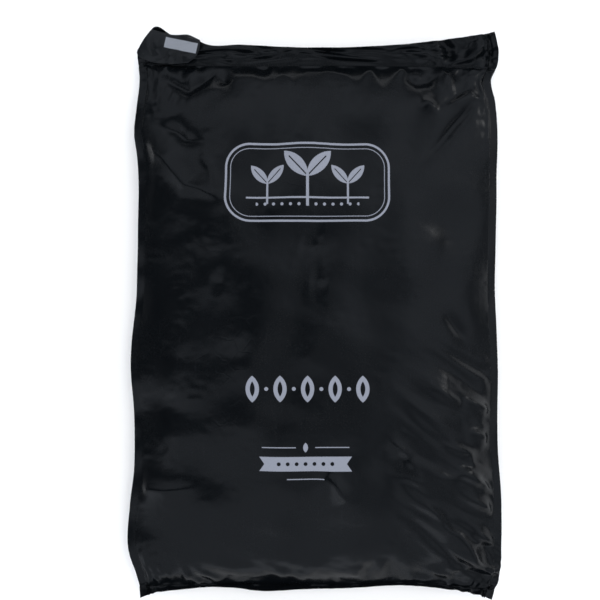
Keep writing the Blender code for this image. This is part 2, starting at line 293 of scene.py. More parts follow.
@dataclass(frozen=True)
class Outline:
    """The bag in plan, as shares. Sides are pairs (t, s); seals and flange edges are pairs (s, t)."""

    left: Pairs = (
        (-1.0, -0.935), (-0.93, -0.952), (-0.83, -1.0), (-0.66, -0.992), (-0.55, -0.971), (-0.34, -0.971),
        (-0.17, -0.988), (0.09, -0.955), (0.28, -0.950), (0.56, -0.955), (0.63, -0.971), (0.73, -0.957),
        (0.82, -0.942), (0.91, -0.955), (1.0, -0.955),
    )
    right: Pairs = (
        (-1.0, 0.947), (-0.93, 0.989), (-0.79, 1.0), (-0.66, 1.0), (-0.42, 0.977), (-0.23, 0.981),
        (0.10, 0.965), (0.46, 0.974), (0.75, 0.967), (0.823, 0.947), (0.88, 0.982), (0.92, 0.986),
        (1.0, 0.957),
    )
    top: Pairs = (
        (-1.0, 0.916), (-0.97, 0.950), (-0.92, 1.0), (-0.80, 0.981), (-0.70, 0.978), (-0.64, 0.955),
        (-0.42, 0.947), (-0.18, 0.939), (0.13, 0.937), (0.50, 0.950), (0.80, 0.971), (1.0, 0.990),
    )
    bottom: Pairs = (
        (-1.0, -0.992), (-0.93, -0.978), (-0.78, -0.966), (-0.56, -0.957), (-0.45, -0.960), (-0.35, -0.968),
        (-0.08, -0.964), (0.19, -0.960), (0.46, -0.951), (0.70, -0.962), (0.90, -0.982), (1.0, -1.0),
    )
    top_seal: Pairs = ((-1.0, 0.878), (-0.5, 0.872), (0.1, 0.874), (0.7, 0.868), (1.0, 0.860))
    bottom_seal: Pairs = (
        (-1.0, -0.955), (-0.78, -0.949), (-0.45, -0.946), (-0.08, -0.948), (0.20, -0.948), (0.46, -0.940),
        (0.72, -0.950), (1.0, -0.972),
    )


@dataclass(frozen=True)
class Slack:
    """How much of the flat tube's spare length is left in the film, from 0 to 1.

    Each pair is a share t along the bag and the amount there: for the film's length at the left and at the
    right side, and for its width.
    """

    left: Pairs = ((-1.0, 0.30), (-0.7, 0.20), (-0.3, 0.14), (0.3, 0.14), (0.7, 0.30), (1.0, 0.35))
    right: Pairs = (
        (-1.0, 0.60), (-0.7, 0.62), (-0.2, 0.40), (0.2, 0.22), (0.6, 0.30), (0.85, 0.45), (1.0, 0.45),
    )
    across: Pairs = ((-1.0, 0.50), (-0.5, 0.40), (0.5, 0.35), (1.0, 0.45))


@dataclass(frozen=True)
class Tube:
    """The tube of film as a grid: rows run round the tube, columns along it.

    Columns 0 to side are the front film, from the left crease to the right one, and the rest are the
    back film on the way back to the left crease. s is the share across. filled is the share along the
    filled part, and flange is the share along a flange: negative at the bottom, positive at the top.
    """

    s: Array
    filled: Array
    flange: Array
    side: int

    @property
    def is_front(self) -> Array:
        """True for the columns of the front film, both creases included."""
        return np.arange(self.s.shape[1]) <= self.side


@dataclass(frozen=True)
class BagForm:
    """The smooth form of the filled bag.

    crown, side_line and seal are heights over the floor, and the powers are those of its arches. Each of
    the side waves is a size, its turns along and across the bag in radians, and a phase. lip_taper says
    how fast a lip thins out, and lip_tip how fast it closes at its outer edge.
    """

    length: float
    width: float
    outline: Outline = field(default_factory=Outline)
    crown: float = 0.150
    side_line: float = 0.078
    seal: float = 0.064
    flange_thickness: float = 0.0011
    top_curl: float = 0.005
    bottom_slope: float = 0.95
    lip: float = 0.010
    lip_root: float = 0.009
    side_buckle: float = 0.0025
    side_waves: tuple[tuple[float, float, float, float], ...] = (
        (1.0, 17.0, 2.0, 0.0),
        (0.6, 29.0, -1.0, 1.0),
    )
    side_power: int = 9
    lip_taper: float = 1.6
    lip_tip: float = 3.0
    ear_lift: float = 0.009
    ear_start: float = 0.6
    across_power: float = 2.85
    top_power: float = 2.7
    bottom_power: float = 2.9
    shoulder_power: float = 1.0
    back_power: float = 3.0
    fullest: float = -0.12
    floor_grip: float = 1.19

    @property
    def half(self) -> tuple[float, float]:
        """Half the width and half the length."""
        return self.width / 2, self.length / 2

    @property
    def lip_start(self) -> float:
        """The share across at which the filled part ends and the lip begins."""
        return 1.0 - self.lip / self.half[0]

    def tube(self, fineness: int) -> Tube:
        """The film's grid.

        Args:
            fineness: How many times the coarsest grid's cells it has each way.

        Returns:
            The grid, with cells of even length on the form's arches.
        """
        low_rows, high_rows = LOW_ROWS * fineness, HIGH_ROWS * fineness
        body = self.lip_start * even_shares(
            COLUMNS * fineness + 1, self.back_power, self.side_line / self.half[0]
        )
        lip = np.linspace(self.lip_start, 1.0, LIP_COLUMNS * fineness + 1)[1:]
        front = np.concatenate([-lip[::-1], body, lip])
        along = even_shares(ROWS * fineness + 1, self.back_power, self.seal / self.half[1])
        low = -np.linspace(1.0, 0.0, low_rows, endpoint=False)
        high = np.linspace(0.0, 1.0, high_rows + 1)[1:]
        filled = np.concatenate([np.full(low_rows, -1.0), along, np.full(high_rows, 1.0)])
        flange = np.concatenate([low, np.zeros(len(along)), high])
        around = np.concatenate([front, front[-2:0:-1]])
        s, filled = np.meshgrid(around, filled)
        return Tube(s, filled, np.broadcast_to(flange[:, None], s.shape), len(front) - 1)

    def plan(self, tube: Tube) -> tuple[Array, Array]:
        """Where each place of the film lies in plan.

        Along the bag it lies between the seals, or between a seal and the flange's edge. Across the bag
        it lies between the two sides.

        Args:
            tube: The film's grid.

        Returns:
            The places' x and y, in metres.
        """
        lines = self.outline
        low_seal = smooth_line(tube.s, lines.bottom_seal)
        high_seal = smooth_line(tube.s, lines.top_seal)
        t = low_seal + (high_seal - low_seal) * (tube.filled + 1.0) / 2.0
        t = t + np.maximum(tube.flange, 0.0) * (smooth_line(tube.s, lines.top) - high_seal)
        t = t + np.maximum(-tube.flange, 0.0) * (smooth_line(tube.s, lines.bottom) - low_seal)
        left = smooth_line(t, lines.left)
        right = smooth_line(t, lines.right)
        return (left + (right - left) * (tube.s + 1.0) / 2.0) * self.half[0], t * self.half[1]

    def rise(self, share: Array, power: float) -> Array:
        """A crown, (1 - |share|^power)^shoulder_power, steepest where it meets 0 at shares -1 and 1."""
        return np.maximum(1.0 - np.abs(share) ** power, 0.0) ** self.shoulder_power

    def fullness(self, tube: Tube) -> Array:
        """How far the front is raised: a crown across the bag times a crown along it.

        Args:
            tube: The film's grid.

        Returns:
            0 at the edge of the filled part and 1 at its fullest.
        """
        across = self.rise(np.clip(tube.s / self.lip_start, -1.0, 1.0), self.across_power)
        below = self.rise((tube.filled - self.fullest) / (1.0 + self.fullest), self.bottom_power)
        above = self.rise((tube.filled - self.fullest) / (1.0 - self.fullest), self.top_power)
        return across * np.where(tube.filled < self.fullest, below, above)

    def back_fullness(self, tube: Tube) -> Array:
        """The same for the back film, which bulges out to its edge before it turns down to the floor."""
        across = arch(np.clip(tube.s / self.lip_start, -1.0, 1.0), self.back_power)
        return across * arch(tube.filled, self.back_power)

    def edge_height(self, tube: Tube) -> Array:
        """Height of the line where the two films meet, and of the flanges.

        The line bends up from the seals to the side line and buckles at the sides. The top flange curls
        up and its right ear stands higher, and the bottom flange slopes down to its edge.

        Args:
            tube: The film's grid.

        Returns:
            The height over the floor at each place.
        """
        inner = 1.0 - tube.filled**4
        top = np.maximum(tube.flange, 0.0)
        bottom = np.maximum(-tube.flange, 0.0)
        height = self.seal + (self.side_line - self.seal) * inner
        reach = smooth_line(tube.s, self.outline.bottom_seal) - smooth_line(tube.s, self.outline.bottom)
        height = height + self.top_curl * top**2 + self.bottom_slope * bottom * reach * self.half[1]
        buckles = np.zeros(tube.s.shape)
        for size, along, across, phase in self.side_waves:
            buckles += size * np.sin(along * tube.filled + phase + across * tube.s)
        height = height + self.side_buckle * buckles * np.abs(tube.s) ** self.side_power * inner
        at_ear = np.clip((tube.s - self.ear_start) / (1.0 - self.ear_start), 0.0, 1.0)
        return height + self.ear_lift * top * at_ear**2

    def edge_thickness(self, tube: Tube) -> Array:
        """Thickness of the flanges and lips: a lip is thickest where it leaves the filled part.

        Args:
            tube: The film's grid.

        Returns:
            The thickness at each place.
        """
        lip = np.clip((1.0 - np.abs(tube.s)) / (1.0 - self.lip_start), 0.0, 1.0) ** self.lip_taper
        flange = self.flange_thickness * np.clip(lip * self.lip_tip, 0.0, 1.0)
        return flange + (self.lip_root - flange) * lip * (1.0 - tube.filled**6)

    def points(self, tube: Tube) -> Array:
        """Places of the film's points before it wrinkles.

        The front rises from its edge to the crown by its fullness. The back falls from its edge to the
        floor, and lies flat on it where its arch is high enough.

        Args:
            tube: The film's grid.

        Returns:
            The points, in metres.
        """
        x, y = self.plan(tube)
        full = self.fullness(tube)
        edge = self.edge_height(tube)
        half_edge = self.edge_thickness(tube) / 2
        front = edge + half_edge + (self.crown - edge - half_edge) * full
        off_floor = np.maximum(1.0 - self.floor_grip * self.back_fullness(tube), 0.0)
        back = (edge - half_edge) * off_floor**2
        return np.stack([x, y, np.where(tube.is_front, front, back)], axis=-1)


def outward_normals(points: Array) -> Array:
    """Unit normals of a tube of points: the cross product of the ways round it and along it.

    Args:
        points: The tube's points.

    Returns:
        A normal for each point, out of the tube.
    """
    around = np.roll(points, -1, axis=1) - np.roll(points, 1, axis=1)
    along = np.gradient(points, axis=0)
    normals = np.cross(around, along)
    return normals / np.maximum(np.linalg.norm(normals, axis=-1, keepdims=True), 1e-9)


def draw_together(a: Array, b: Array, rest: Array, share: float) -> None:
    """Moves each pair of points, in place, towards its rest distance.

    Args:
        a: First points, a view that is written to.
        b: Second points, a view that is written to.
        rest: The distance that each pair should have.
        share: The share of the error that one call takes away.
    """
    span = b - a
    length = np.sqrt(np.einsum("...k,...k->...", span, span))
    step = (0.5 * share * (1.0 - rest / np.maximum(length, 1e-9)))[..., None] * span
    a += step
    b -= step


def rough_curvature(values: Array) -> Array:
    """How a grid bends: the sum of the four neighbours less four times the value.

    Args:
        values: The grid, whose columns close into a ring.

    Returns:
        The bend at each value, with the end rows' missing neighbours taken as equal to them.
    """
    ring = np.roll(values, 1, axis=1) + np.roll(values, -1, axis=1)
    low = np.concatenate([values[:1], values[:-1]])
    high = np.concatenate([values[1:], values[-1:]])
    return ring + low + high - 4.0 * values


@dataclass(frozen=True)
class Creases:
    """One kind of crease, in sharp facets.

    stretch holds the factors on x and y before the facets are worked out, so a factor below 1 draws the
    creases out that way. swing is how far they turn, either way.
    """

    height: float
    pitch: float
    seed: int
    stretch: Span = (1.0, 1.0)
    swing: float = np.pi
    count: int = 5

    def relief(self, x: Array, y: Array) -> Array:
        """The creases' height at places x and y."""
        across, along = self.stretch
        return self.height * facets(across * x, along * y, self.pitch, self.seed, self.swing, self.count)


@dataclass(frozen=True)
class SeamStep:
    """A step of the front beside a seam, which rises and falls away from it and fades out at the sides."""

    height: float
    rise: Span
    fall: Span
    sides: Span

    def relief(self, from_seam: Array, from_side: Array, ragged: float | Array = 0.0) -> Array:
        """The step's height, the product of three ramps.

        Args:
            from_seam: Distance from the seam.
            from_side: Distance from the nearer side.
            ragged: How much further the rise reaches, place by place.

        Returns:
            The height at each place.
        """
        start, end = self.rise
        height = self.height * ramp(from_seam, start, end + ragged) * ramp(from_seam, *self.fall)
        return height * ramp(from_side, *self.sides)


@dataclass(frozen=True)
class Crumples:
    """The sharp small creases of the film: in the flanges, along the seams and in the bottom right corner.

    A Span says where something starts and where it is complete. It is a share for the flanges, and a
    distance or a place in metres for the rest. gathers_lost is the share of the gathers that the crushed
    right end of the top flange lacks, and the step at the foot is higher at the left by heel_left_gain.
    """

    gathers: Creases = Creases(0.0012, 0.0105, 31, (0.20, 1.0), 0.8)
    gathers_lost: float = 0.6
    crushed: Creases = Creases(0.0038, 0.030, 35, swing=1.4, count=4)
    hem: Creases = Creases(0.0006, 0.016, 39, (1.0, 0.5))
    top_start: Span = (0.0, 0.35)
    bottom_start: Span = (0.0, -0.4)
    crushed_start: Span = (0.45, 0.80)
    wave: float = 0.0006
    wave_pitch: float = 0.045
    wave_stretch: float = 0.3

    pleats: Creases = Creases(0.0010, 0.024, 41, (1.0, 0.35))
    side_pleats: Creases = Creases(0.0002, 0.020, 43, (0.35, 1.0), 0.9)
    reach: float = 0.022
    pleats_start: Span = (0.0, 0.004)
    side_start: Span = (0.010, 0.016)
    foot: Creases = Creases(0.0010, 0.030, 45, (1.0, 1.3))
    foot_start: Span = (0.0, 0.005)
    foot_end: Span = (0.036, 0.022)

    brow: SeamStep = SeamStep(0.0055, (0.0, 0.022), (0.115, 0.030), (0.008, 0.035))
    teeth: Creases = Creases(0.006, 0.034, 47, (1.0, 0.2))
    heel: SeamStep = SeamStep(0.0040, (0.0, 0.020), (0.080, 0.026), (0.008, 0.026))
    heel_right: Span = (0.10, 0.03)
    heel_left: Span = (-0.10, -0.16)
    heel_left_gain: float = 0.5

    fan: Creases = Creases(0.0011, 0.019, 49, (0.20, 1.0), 0.7)
    fan_turn: float = 36.0
    fan_left: Span = (0.085, 0.135)
    fan_top: Span = (-0.020, -0.080)
    fan_side: Span = (0.008, 0.020)
    fan_foot: Span = (0.0, 0.02)

    def of_flanges(self, tube: Tube, x: Array, y: Array) -> Array:
        """Height that both films share in the flanges.

        The top flange has long creases beside its seam and crushed facets at its right end. The bottom
        flange has soft waves and a creased hem.

        Args:
            tube: The film's grid.
            x: Place across, in metres.
            y: Place along, in metres.

        Returns:
            Height above the smooth form, 0 between the seams.
        """
        top = ramp(tube.flange, *self.top_start)
        bottom = ramp(tube.flange, *self.bottom_start)
        right = ramp(tube.s, *self.crushed_start)
        waves = random_waves(x, self.wave_stretch * y, self.wave_pitch, seed=37, count=12)
        gathers = (1.0 - self.gathers_lost * right) * self.gathers.relief(x, y)
        upper = gathers + right * self.crushed.relief(x, y)
        lower = self.wave * waves + self.hem.relief(x, y)
        return top * upper + bottom * lower

    def of_front(self, tube: Tube, x: Array, y: Array, seams: tuple[Array, Array]) -> Array:
        """Height on the front: what stands along the top seam, the sides and the bottom seam, and the fan.

        Args:
            tube: The film's grid.
            x: Place across, in metres.
            y: Place along, in metres.
            seams: Distance of each place from the top seam and from the bottom seam.

        Returns:
            Height above the smooth form, 0 on the back and on the flanges.
        """
        from_top, from_foot = seams
        from_side = (1.0 - np.abs(tube.s)) * x.max()
        front = self.below_top(x, y, from_top, from_side) + self.beside_lips(x, y, from_side)
        front = front + self.above_foot(x, y, from_foot, from_side)
        front = front + self.of_fan(x, y, from_foot, from_side)
        return (tube.flange == 0.0) * tube.is_front * front

    def below_top(self, x: Array, y: Array, from_top: Array, from_side: Array) -> Array:
        """Pleats that start at the top seam and die away within reach, on a step with a ragged edge.

        Args:
            x: Place across, in metres.
            y: Place along, in metres.
            from_top: Distance from the top seam.
            from_side: Distance from the nearer side.

        Returns:
            The height at each place.
        """
        at_top = ramp(from_top, *self.pleats_start) * np.exp(-((from_top / self.reach) ** 2))
        brow = self.brow.relief(from_top, from_side, self.teeth.relief(x, y))
        return at_top * self.pleats.relief(x, y) + brow

    def beside_lips(self, x: Array, y: Array, from_side: Array) -> Array:
        """Small pleats that start at the lips and die away within reach."""
        at_side = ramp(from_side, *self.side_start) * np.exp(-((from_side / self.reach) ** 2))
        return at_side * self.side_pleats.relief(x, y)

    def above_foot(self, x: Array, y: Array, from_foot: Array, from_side: Array) -> Array:
        """Facets above the bottom seam, on a step that ends right of the middle and is highest at the left.

        Args:
            x: Place across, in metres.
            y: Place along, in metres.
            from_foot: Distance from the bottom seam.
            from_side: Distance from the nearer side.

        Returns:
            The height at each place.
        """
        at_foot = ramp(from_foot, *self.foot_start) * ramp(from_foot, *self.foot_end)
        gain = (1.0 + self.heel_left_gain * ramp(x, *self.heel_left)) * ramp(x, *self.heel_right)
        return at_foot * self.foot.relief(x, y) + gain * self.heel.relief(from_foot, from_side)

    def of_fan(self, x: Array, y: Array, from_foot: Array, from_side: Array) -> Array:
        """Long facets that run out of the bottom right corner at fan_turn degrees.

        Args:
            x: Place across, in metres.
            y: Place along, in metres.
            from_foot: Distance from the bottom seam.
            from_side: Distance from the nearer side.

        Returns:
            The height at each place.
        """
        turn = np.radians(self.fan_turn)
        along, off = x * np.cos(turn) - y * np.sin(turn), x * np.sin(turn) + y * np.cos(turn)
        inside = ramp(x, *self.fan_left) * ramp(y, *self.fan_top)
        inside = inside * ramp(from_side, *self.fan_side) * ramp(from_foot, *self.fan_foot)
        return inside * self.fan.relief(along, off)


@dataclass
class Film:
    """Film that is longer than the form it lies on, and settles on it in wrinkles.

    Press is the share of a dent that the contents undo in one pass, and cling the share of a bulge that
    the film's pull undoes. Each has one value over the contents and one at the edge. slide_hold is the
    same for a shift along the surface, and pull and cross_pull are the shares of a wrong length that are
    taken away along the grid's lines and along its diagonals.
    """

    form: BagForm
    slack: Slack
    tube: Tube
    fold_height: float = 0.0034
    fold_width: float = 0.0070
    fold_fullness: Span = (0.0, 0.14)
    hill_height: float = 0.0013
    hill_pitch: float = 0.050
    hill_chance: float = 0.35
    hill_fullness: float = 0.5
    press_full: float = 0.25
    press_edge: float = 0.015
    cling_full: float = 0.007
    cling_edge: float = 0.012
    floor_hold: float = 0.5
    slide_hold: float = 0.02
    pull: float = 0.9
    cross_pull: float = 0.25

    def __post_init__(self) -> None:
        """Works out the form's points and normals, the rest lengths and the holds."""
        tube = self.tube
        self.base = self.form.points(tube)
        self.normals = outward_normals(self.base)
        self.full = self.form.fullness(tube)
        self.on_flange = tube.flange[:, 0] != 0.0
        self.flat_u, self.flat_v = self.flat_places()
        self.rest_round, self.rest_along, self.rest_cross = self.rest_lengths()
        self.target = self.relief()
        self.press, self.cling = self.holds()

    def flat_places(self) -> tuple[Array, Array]:
        """Each point's place on the flat film.

        Returns:
            Arc lengths round the tube's fullest row, and along the middle columns of front and back.
        """
        middle = self.base[int(np.argmax(self.full[:, self.tube.side // 2]))]
        steps = lengths_between(middle, np.roll(middle, -1, axis=0))
        u = np.concatenate([[0.0], np.cumsum(steps)[:-1]])
        v_front = self.run_along(self.tube.side // 2)
        v_back = self.run_along(self.tube.side + self.tube.side // 2)
        v = np.where(self.tube.is_front, v_front[:, None], v_back[:, None])
        return np.broadcast_to(u, v.shape), v

    def run_along(self, column: int) -> Array:
        """How far along the film one column's points lie.

        Args:
            column: The column.

        Returns:
            Its arc length, 0 at the middle row.
        """
        line = self.base[:, column]
        run = np.concatenate([[0.0], np.cumsum(lengths_between(line[:-1], line[1:]))])
        return run - run[len(run) // 2]

    def rest_lengths(self) -> tuple[Array, Array, tuple[Array, Array]]:
        """Rest lengths round the tube, along it and across its cells both ways.

        The rest length is the form's own length, and the share slack of what the flat film has more.

        Returns:
            The lengths round, along, and across the cells on their rising and on their falling diagonals.
        """
        tube, base = self.tube, self.base
        t = base[..., 1] / self.form.half[1]
        around = lengths_between(base, np.roll(base, -1, axis=1))
        flat_around = np.roll(self.flat_u, -1, axis=1) - self.flat_u
        flat_around[:, -1] = around[len(around) // 2, -1]
        give = smooth_line(t, self.slack.across)
        rest_round = around + give * np.maximum(flat_around - around, 0.0)
        along = lengths_between(base[:-1], base[1:])
        flat_along = np.diff(self.flat_v, axis=0)
        left = smooth_line(t, self.slack.left)
        right = smooth_line(t, self.slack.right)
        give = (left + (right - left) * (tube.s + 1.0) / 2.0)[:-1]
        give = give * (tube.flange[:-1] == 0.0) * (tube.flange[1:] == 0.0)
        rest_along = along + give * np.maximum(flat_along - along, 0.0)
        grown = np.hypot(rest_round[:-1], rest_along) / np.hypot(around[:-1], along)
        rising = lengths_between(base[:-1, :-1], base[1:, 1:]) * grown[:, :-1]
        falling = lengths_between(base[:-1, 1:], base[1:, :-1]) * grown[:, :-1]
        return rest_round, rest_along, (rising, falling)

    def relief(self) -> Array:
        """Height that the contents give the film.

        Returns:
            Soft hills everywhere off the floor, and the named folds of the front.
        """
        body = np.clip(self.full / self.hill_fullness, 0.0, 1.0)
        hills = self.hill_chance * random_waves(self.flat_u, self.flat_v, self.hill_pitch, seed=12)
        for degrees, pitch, phase in HILL_WAVES:
            turn = np.radians(degrees)
            along = self.base[..., 0] * np.cos(turn) + self.base[..., 1] * np.sin(turn)
            hills = hills + np.sin(2.0 * np.pi * along / pitch + phase) * self.tube.is_front
        hills = self.hill_height * hills
        lying = np.clip(self.base[..., 2] / NEAR_FLOOR, 0.0, 1.0)
        return body * lying * hills + self.folds()

    def folds(self) -> Array:
        """The named folds of the front, added up.

        Returns:
            Their height at each point, which fades out at the edge of the filled part.
        """
        x, y = self.base[..., 0], self.base[..., 1]
        height = np.zeros(x.shape)
        for fold in FOLDS:
            height += fold.relief(x, y, self.form.half, self.fold_width)
        return self.fold_height * height * self.tube.is_front * ramp(self.full, *self.fold_fullness)

    def holds(self) -> tuple[Array, Array]:
        """How strongly each point is held.

        Returns:
            The press and the cling at each point.
        """
        on_floor = self.base[..., 2] < ON_FLOOR
        press = np.where(self.full > 0.0, self.press_full, self.press_edge)
        cling = np.where(self.full > 0.0, self.cling_full, self.cling_edge)
        return np.where(on_floor, self.floor_hold, press), np.where(on_floor, self.floor_hold, cling)

    def start(self, seed: int, nudge: float) -> Array:
        """The form's points on their relief, nudged in and out at random so that the film can buckle.

        Args:
            seed: Seed of the random nudges.
            nudge: Their typical size, in metres.

        Returns:
            The points.
        """
        chance = np.random.default_rng(seed)
        out = self.target + nudge * chance.standard_normal(self.target.shape)
        return self.base + out[..., None] * self.normals

    def settle(self, points: Array, passes: int, bending: float) -> Array:
        """Lets the film settle.

        Each pass pulls it to its rest lengths, smooths its displacement from the form, keeps the two
        films of a flange together, and holds the displacement back.

        Args:
            points: Where the points are, changed in place.
            passes: How many passes.
            bending: The film's stiffness against sharp bends, up to 0.03.

        Returns:
            The points.
        """
        side = self.tube.side
        rising, falling = self.rest_cross
        rest_round, rest_along = self.rest_round, self.rest_along
        for _ in range(passes):
            draw_together(points[:, 0::2], points[:, 1::2], rest_round[:, 0::2], self.pull)
            draw_together(points[:, 1:-1:2], points[:, 2::2], rest_round[:, 1:-1:2], self.pull)
            draw_together(points[:, -1], points[:, 0], rest_round[:, -1], self.pull)
            for start in (0, 1):
                low, high = points[start:-1:2], points[start + 1 :: 2]
                draw_together(low, high, rest_along[start::2], self.pull)
                draw_together(low[:, :-1], high[:, 1:], rising[start::2], self.cross_pull)
                draw_together(low[:, 1:], high[:, :-1], falling[start::2], self.cross_pull)
            moved = points - self.base
            moved -= bending * rough_curvature(rough_curvature(moved))
            both = (moved[self.on_flange, 1:side] + moved[self.on_flange, :side:-1]) / 2
            moved[self.on_flange, 1:side] = both
            moved[self.on_flange, :side:-1] = both
            out = np.einsum("...k,...k->...", moved, self.normals)
            gap = out - self.target
            hold = np.where(gap < 0.0, self.press, self.cling) * gap
            slide = moved - out[..., None] * self.normals
            moved -= hold[..., None] * self.normals + self.slide_hold * slide
            np.add(self.base, moved, out=points)
            points[..., 2] = np.maximum(points[..., 2], 0.0)
        return points


def doubled(values: Array) -> Array:
    """A grid made twice as fine.

    Args:
        values: The grid, whose columns close into a ring.

    Returns:
        The grid with a new row and column halfway between each two.
    """
    wide = np.empty((values.shape[0], 2 * values.shape[1], *values.shape[2:]))
    wide[:, 0::2] = values
    wide[:, 1::2] = (values + np.roll(values, -1, axis=1)) / 2
    tall = np.empty((2 * values.shape[0] - 1, *wide.shape[1:]))
    tall[0::2] = wide
    tall[1::2] = (wide[:-1] + wide[1:]) / 2
    return tall


class Value:
    """A number that changes over a surface: wraps an output socket and adds Math nodes for operators."""

    def __init__(self, maker: NodeMaker, socket: bpy.types.NodeSocket) -> None:
        """Keeps the maker that adds nodes, and the socket."""
        self.maker = maker
        self.socket = socket

    def _math(self, operation: str, *others: Value | float) -> Value:
        """This value and others through one Math node."""
        return self.maker.math(operation, self, *others)

    def __add__(self, other: Value | float) -> Value:
        """Sum."""
        return self._math("ADD", other)

    __radd__ = __add__

    def __sub__(self, other: Value | float) -> Value:
        """Difference."""
        return self._math("SUBTRACT", other)

    def __rsub__(self, other: float) -> Value:
        """Difference from a number."""
        return self.maker.math("SUBTRACT", other, self)

    def __mul__(self, other: Value | float) -> Value:
        """Product."""
        return self._math("MULTIPLY", other)

    __rmul__ = __mul__

    def __truediv__(self, other: Value | float) -> Value:
        """Quotient."""
        return self._math("DIVIDE", other)

    def __abs__(self) -> Value:
        """Size without sign."""
        return self._math("ABSOLUTE")

    def at_most(self, other: Value | float) -> Value:
        """The lesser of the two."""
        return self._math("MINIMUM", other)

    def at_least(self, other: Value | float) -> Value:
        """The greater of the two."""
        return self._math("MAXIMUM", other)

    def power(self, exponent: float) -> Value:
        """This to a power."""
        return self._math("POWER", exponent)

    def step(self, start: float, end: float) -> Value:
        """A smooth rise.

        Args:
            start: The value at which it is 0.
            end: The value at which it is 1, which may lie below start.

        Returns:
            The rise at this value.
        """
        return self.maker.node(
            "ShaderNodeMapRange",
            {"interpolation_type": "SMOOTHSTEP"},
            {"Value": self, "From Min": start, "From Max": end},
        )


class NodeMaker:
    """Adds nodes to one material or world."""

    def __init__(self, tree: bpy.types.NodeTree) -> None:
        """Keeps the tree that nodes are added to."""
        self.tree = tree

    def node(
        self,
        kind: str,
        settings: dict[str, object],
        inputs: dict[str | int, object],
        output: str | int = 0,
    ) -> Value:
        """Adds a node.

        Args:
            kind: The node's type, such as ShaderNodeBump.
            settings: Its properties, set before its sockets.
            inputs: For each input, by name or number, a number, a colour, a vector or a Value to link.
            output: The output that is wanted, by name or number.

        Returns:
            That output.
        """
        made = self.tree.nodes.new(kind)
        for name, setting in settings.items():
            setattr(made, name, setting)
        for name, given in inputs.items():
            if isinstance(given, Value):
                self.tree.links.new(given.socket, made.inputs[name])
            else:
                made.inputs[name].default_value = given
        return Value(self, made.outputs[output])

    def math(self, operation: str, *values: Value | float) -> Value:
        """One Math node over numbers and values."""
        return self.node("ShaderNodeMath", {"operation": operation}, dict(enumerate(values)))

    def mix(self, share: Value | float, low: Value | tuple, high: Value | tuple) -> Value:
        """A colour between two.

        Args:
            share: How far the colour is from low to high, from 0 to 1.
            low: The colour at share 0.
            high: The colour at share 1.

        Returns:
            The colour.
        """
        inputs = {"Factor": share, 6: low, 7: high}
        return self.node("ShaderNodeMix", {"data_type": "RGBA"}, inputs, output=2)

    def split(self, vector: Value) -> tuple[Value, Value, Value]:
        """The three parts of a vector."""
        made = self.node("ShaderNodeSeparateXYZ", {}, {"Vector": vector})
        return tuple(Value(self, part) for part in made.socket.node.outputs)

    def join(self, x: Value | float, y: Value | float, z: Value | float) -> Value:
        """A vector from three numbers."""
        return self.node("ShaderNodeCombineXYZ", {}, {"X": x, "Y": y, "Z": z})

    def uv(self, name: str) -> Value:
        """A piece's own UV map."""
        return self.node("ShaderNodeUVMap", {"uv_map": name}, {})

    def noise(self, place: Value, scale: float, detail: float = 2.0, roughness: float = 0.5) -> Value:
        """Soft random noise.

        Args:
            place: Where it is looked up.
            scale: Hills to the metre.
            detail: How many finer noises are added.
            roughness: How strong they are.

        Returns:
            The noise, from 0 to 1.
        """
        inputs = {"Vector": place, "Scale": scale, "Detail": detail, "Roughness": roughness}
        return self.node("ShaderNodeTexNoise", {}, inputs)


def disc(maker: NodeMaker, x: Value, y: Value, radius: float) -> Value:
    """Distance outside a circle round the origin: the length of (x, y), less the radius."""
    return maker.math("SQRT", x * x + y * y) - radius


def slab(x: Value, y: Value, half_x: float, half_y: float) -> Value:
    """Distance outside an upright rectangle round the origin, measured square to its sides."""
    return (abs(x) - half_x).at_least(abs(y) - half_y)


def leaf(maker: NodeMaker, x: Value, y: Value, half_length: float, half_width: float) -> Value:
    """Distance outside a pointed leaf along Y: the overlap of two circles, one to each side.

    Args:
        maker: Adds the nodes.
        x: Place across the leaf, from its middle.
        y: Place along the leaf, from its middle.
        half_length: Half the leaf's length.
        half_width: Half the leaf's width.

    Returns:
        The distance, negative inside.
    """
    offset = (half_length**2 - half_width**2) / (2.0 * half_width)
    return disc(maker, abs(x) + offset, y, offset + half_width)


def round_slab(maker: NodeMaker, x: Value, y: Value, half: tuple[float, float], radius: float) -> Value:
    """Distance outside a rectangle with rounded corners: that outside a smaller one, less the radius.

    Args:
        maker: Adds the nodes.
        x: Place across, from the rectangle's middle.
        y: Place along, from the rectangle's middle.
        half: Half its width and half its height.
        radius: The radius of its corners.

    Returns:
        The distance, negative inside.
    """
    over_x = (abs(x) - (half[0] - radius)).at_least(0.0)
    over_y = (abs(y) - (half[1] - radius)).at_least(0.0)
    inside = (abs(x) - (half[0] - radius)).at_least(abs(y) - (half[1] - radius)).at_most(0.0)
    return maker.math("SQRT", over_x * over_x + over_y * over_y) + inside - radius


def turned(x: Value, y: Value, degrees: float) -> tuple[Value, Value]:
    """The coordinates in a frame that is turned by degrees."""
    cosine, sine = float(np.cos(np.radians(degrees))), float(np.sin(np.radians(degrees)))
    return x * cosine + y * sine, y * cosine - x * sine


def from_nearest(maker: NodeMaker, x: Value, pitch: float) -> Value:
    """x counted from the nearest of a row of marks that stand pitch apart, mirrored at every other one."""
    return maker.math("PINGPONG", x + pitch / 2, pitch) - pitch / 2


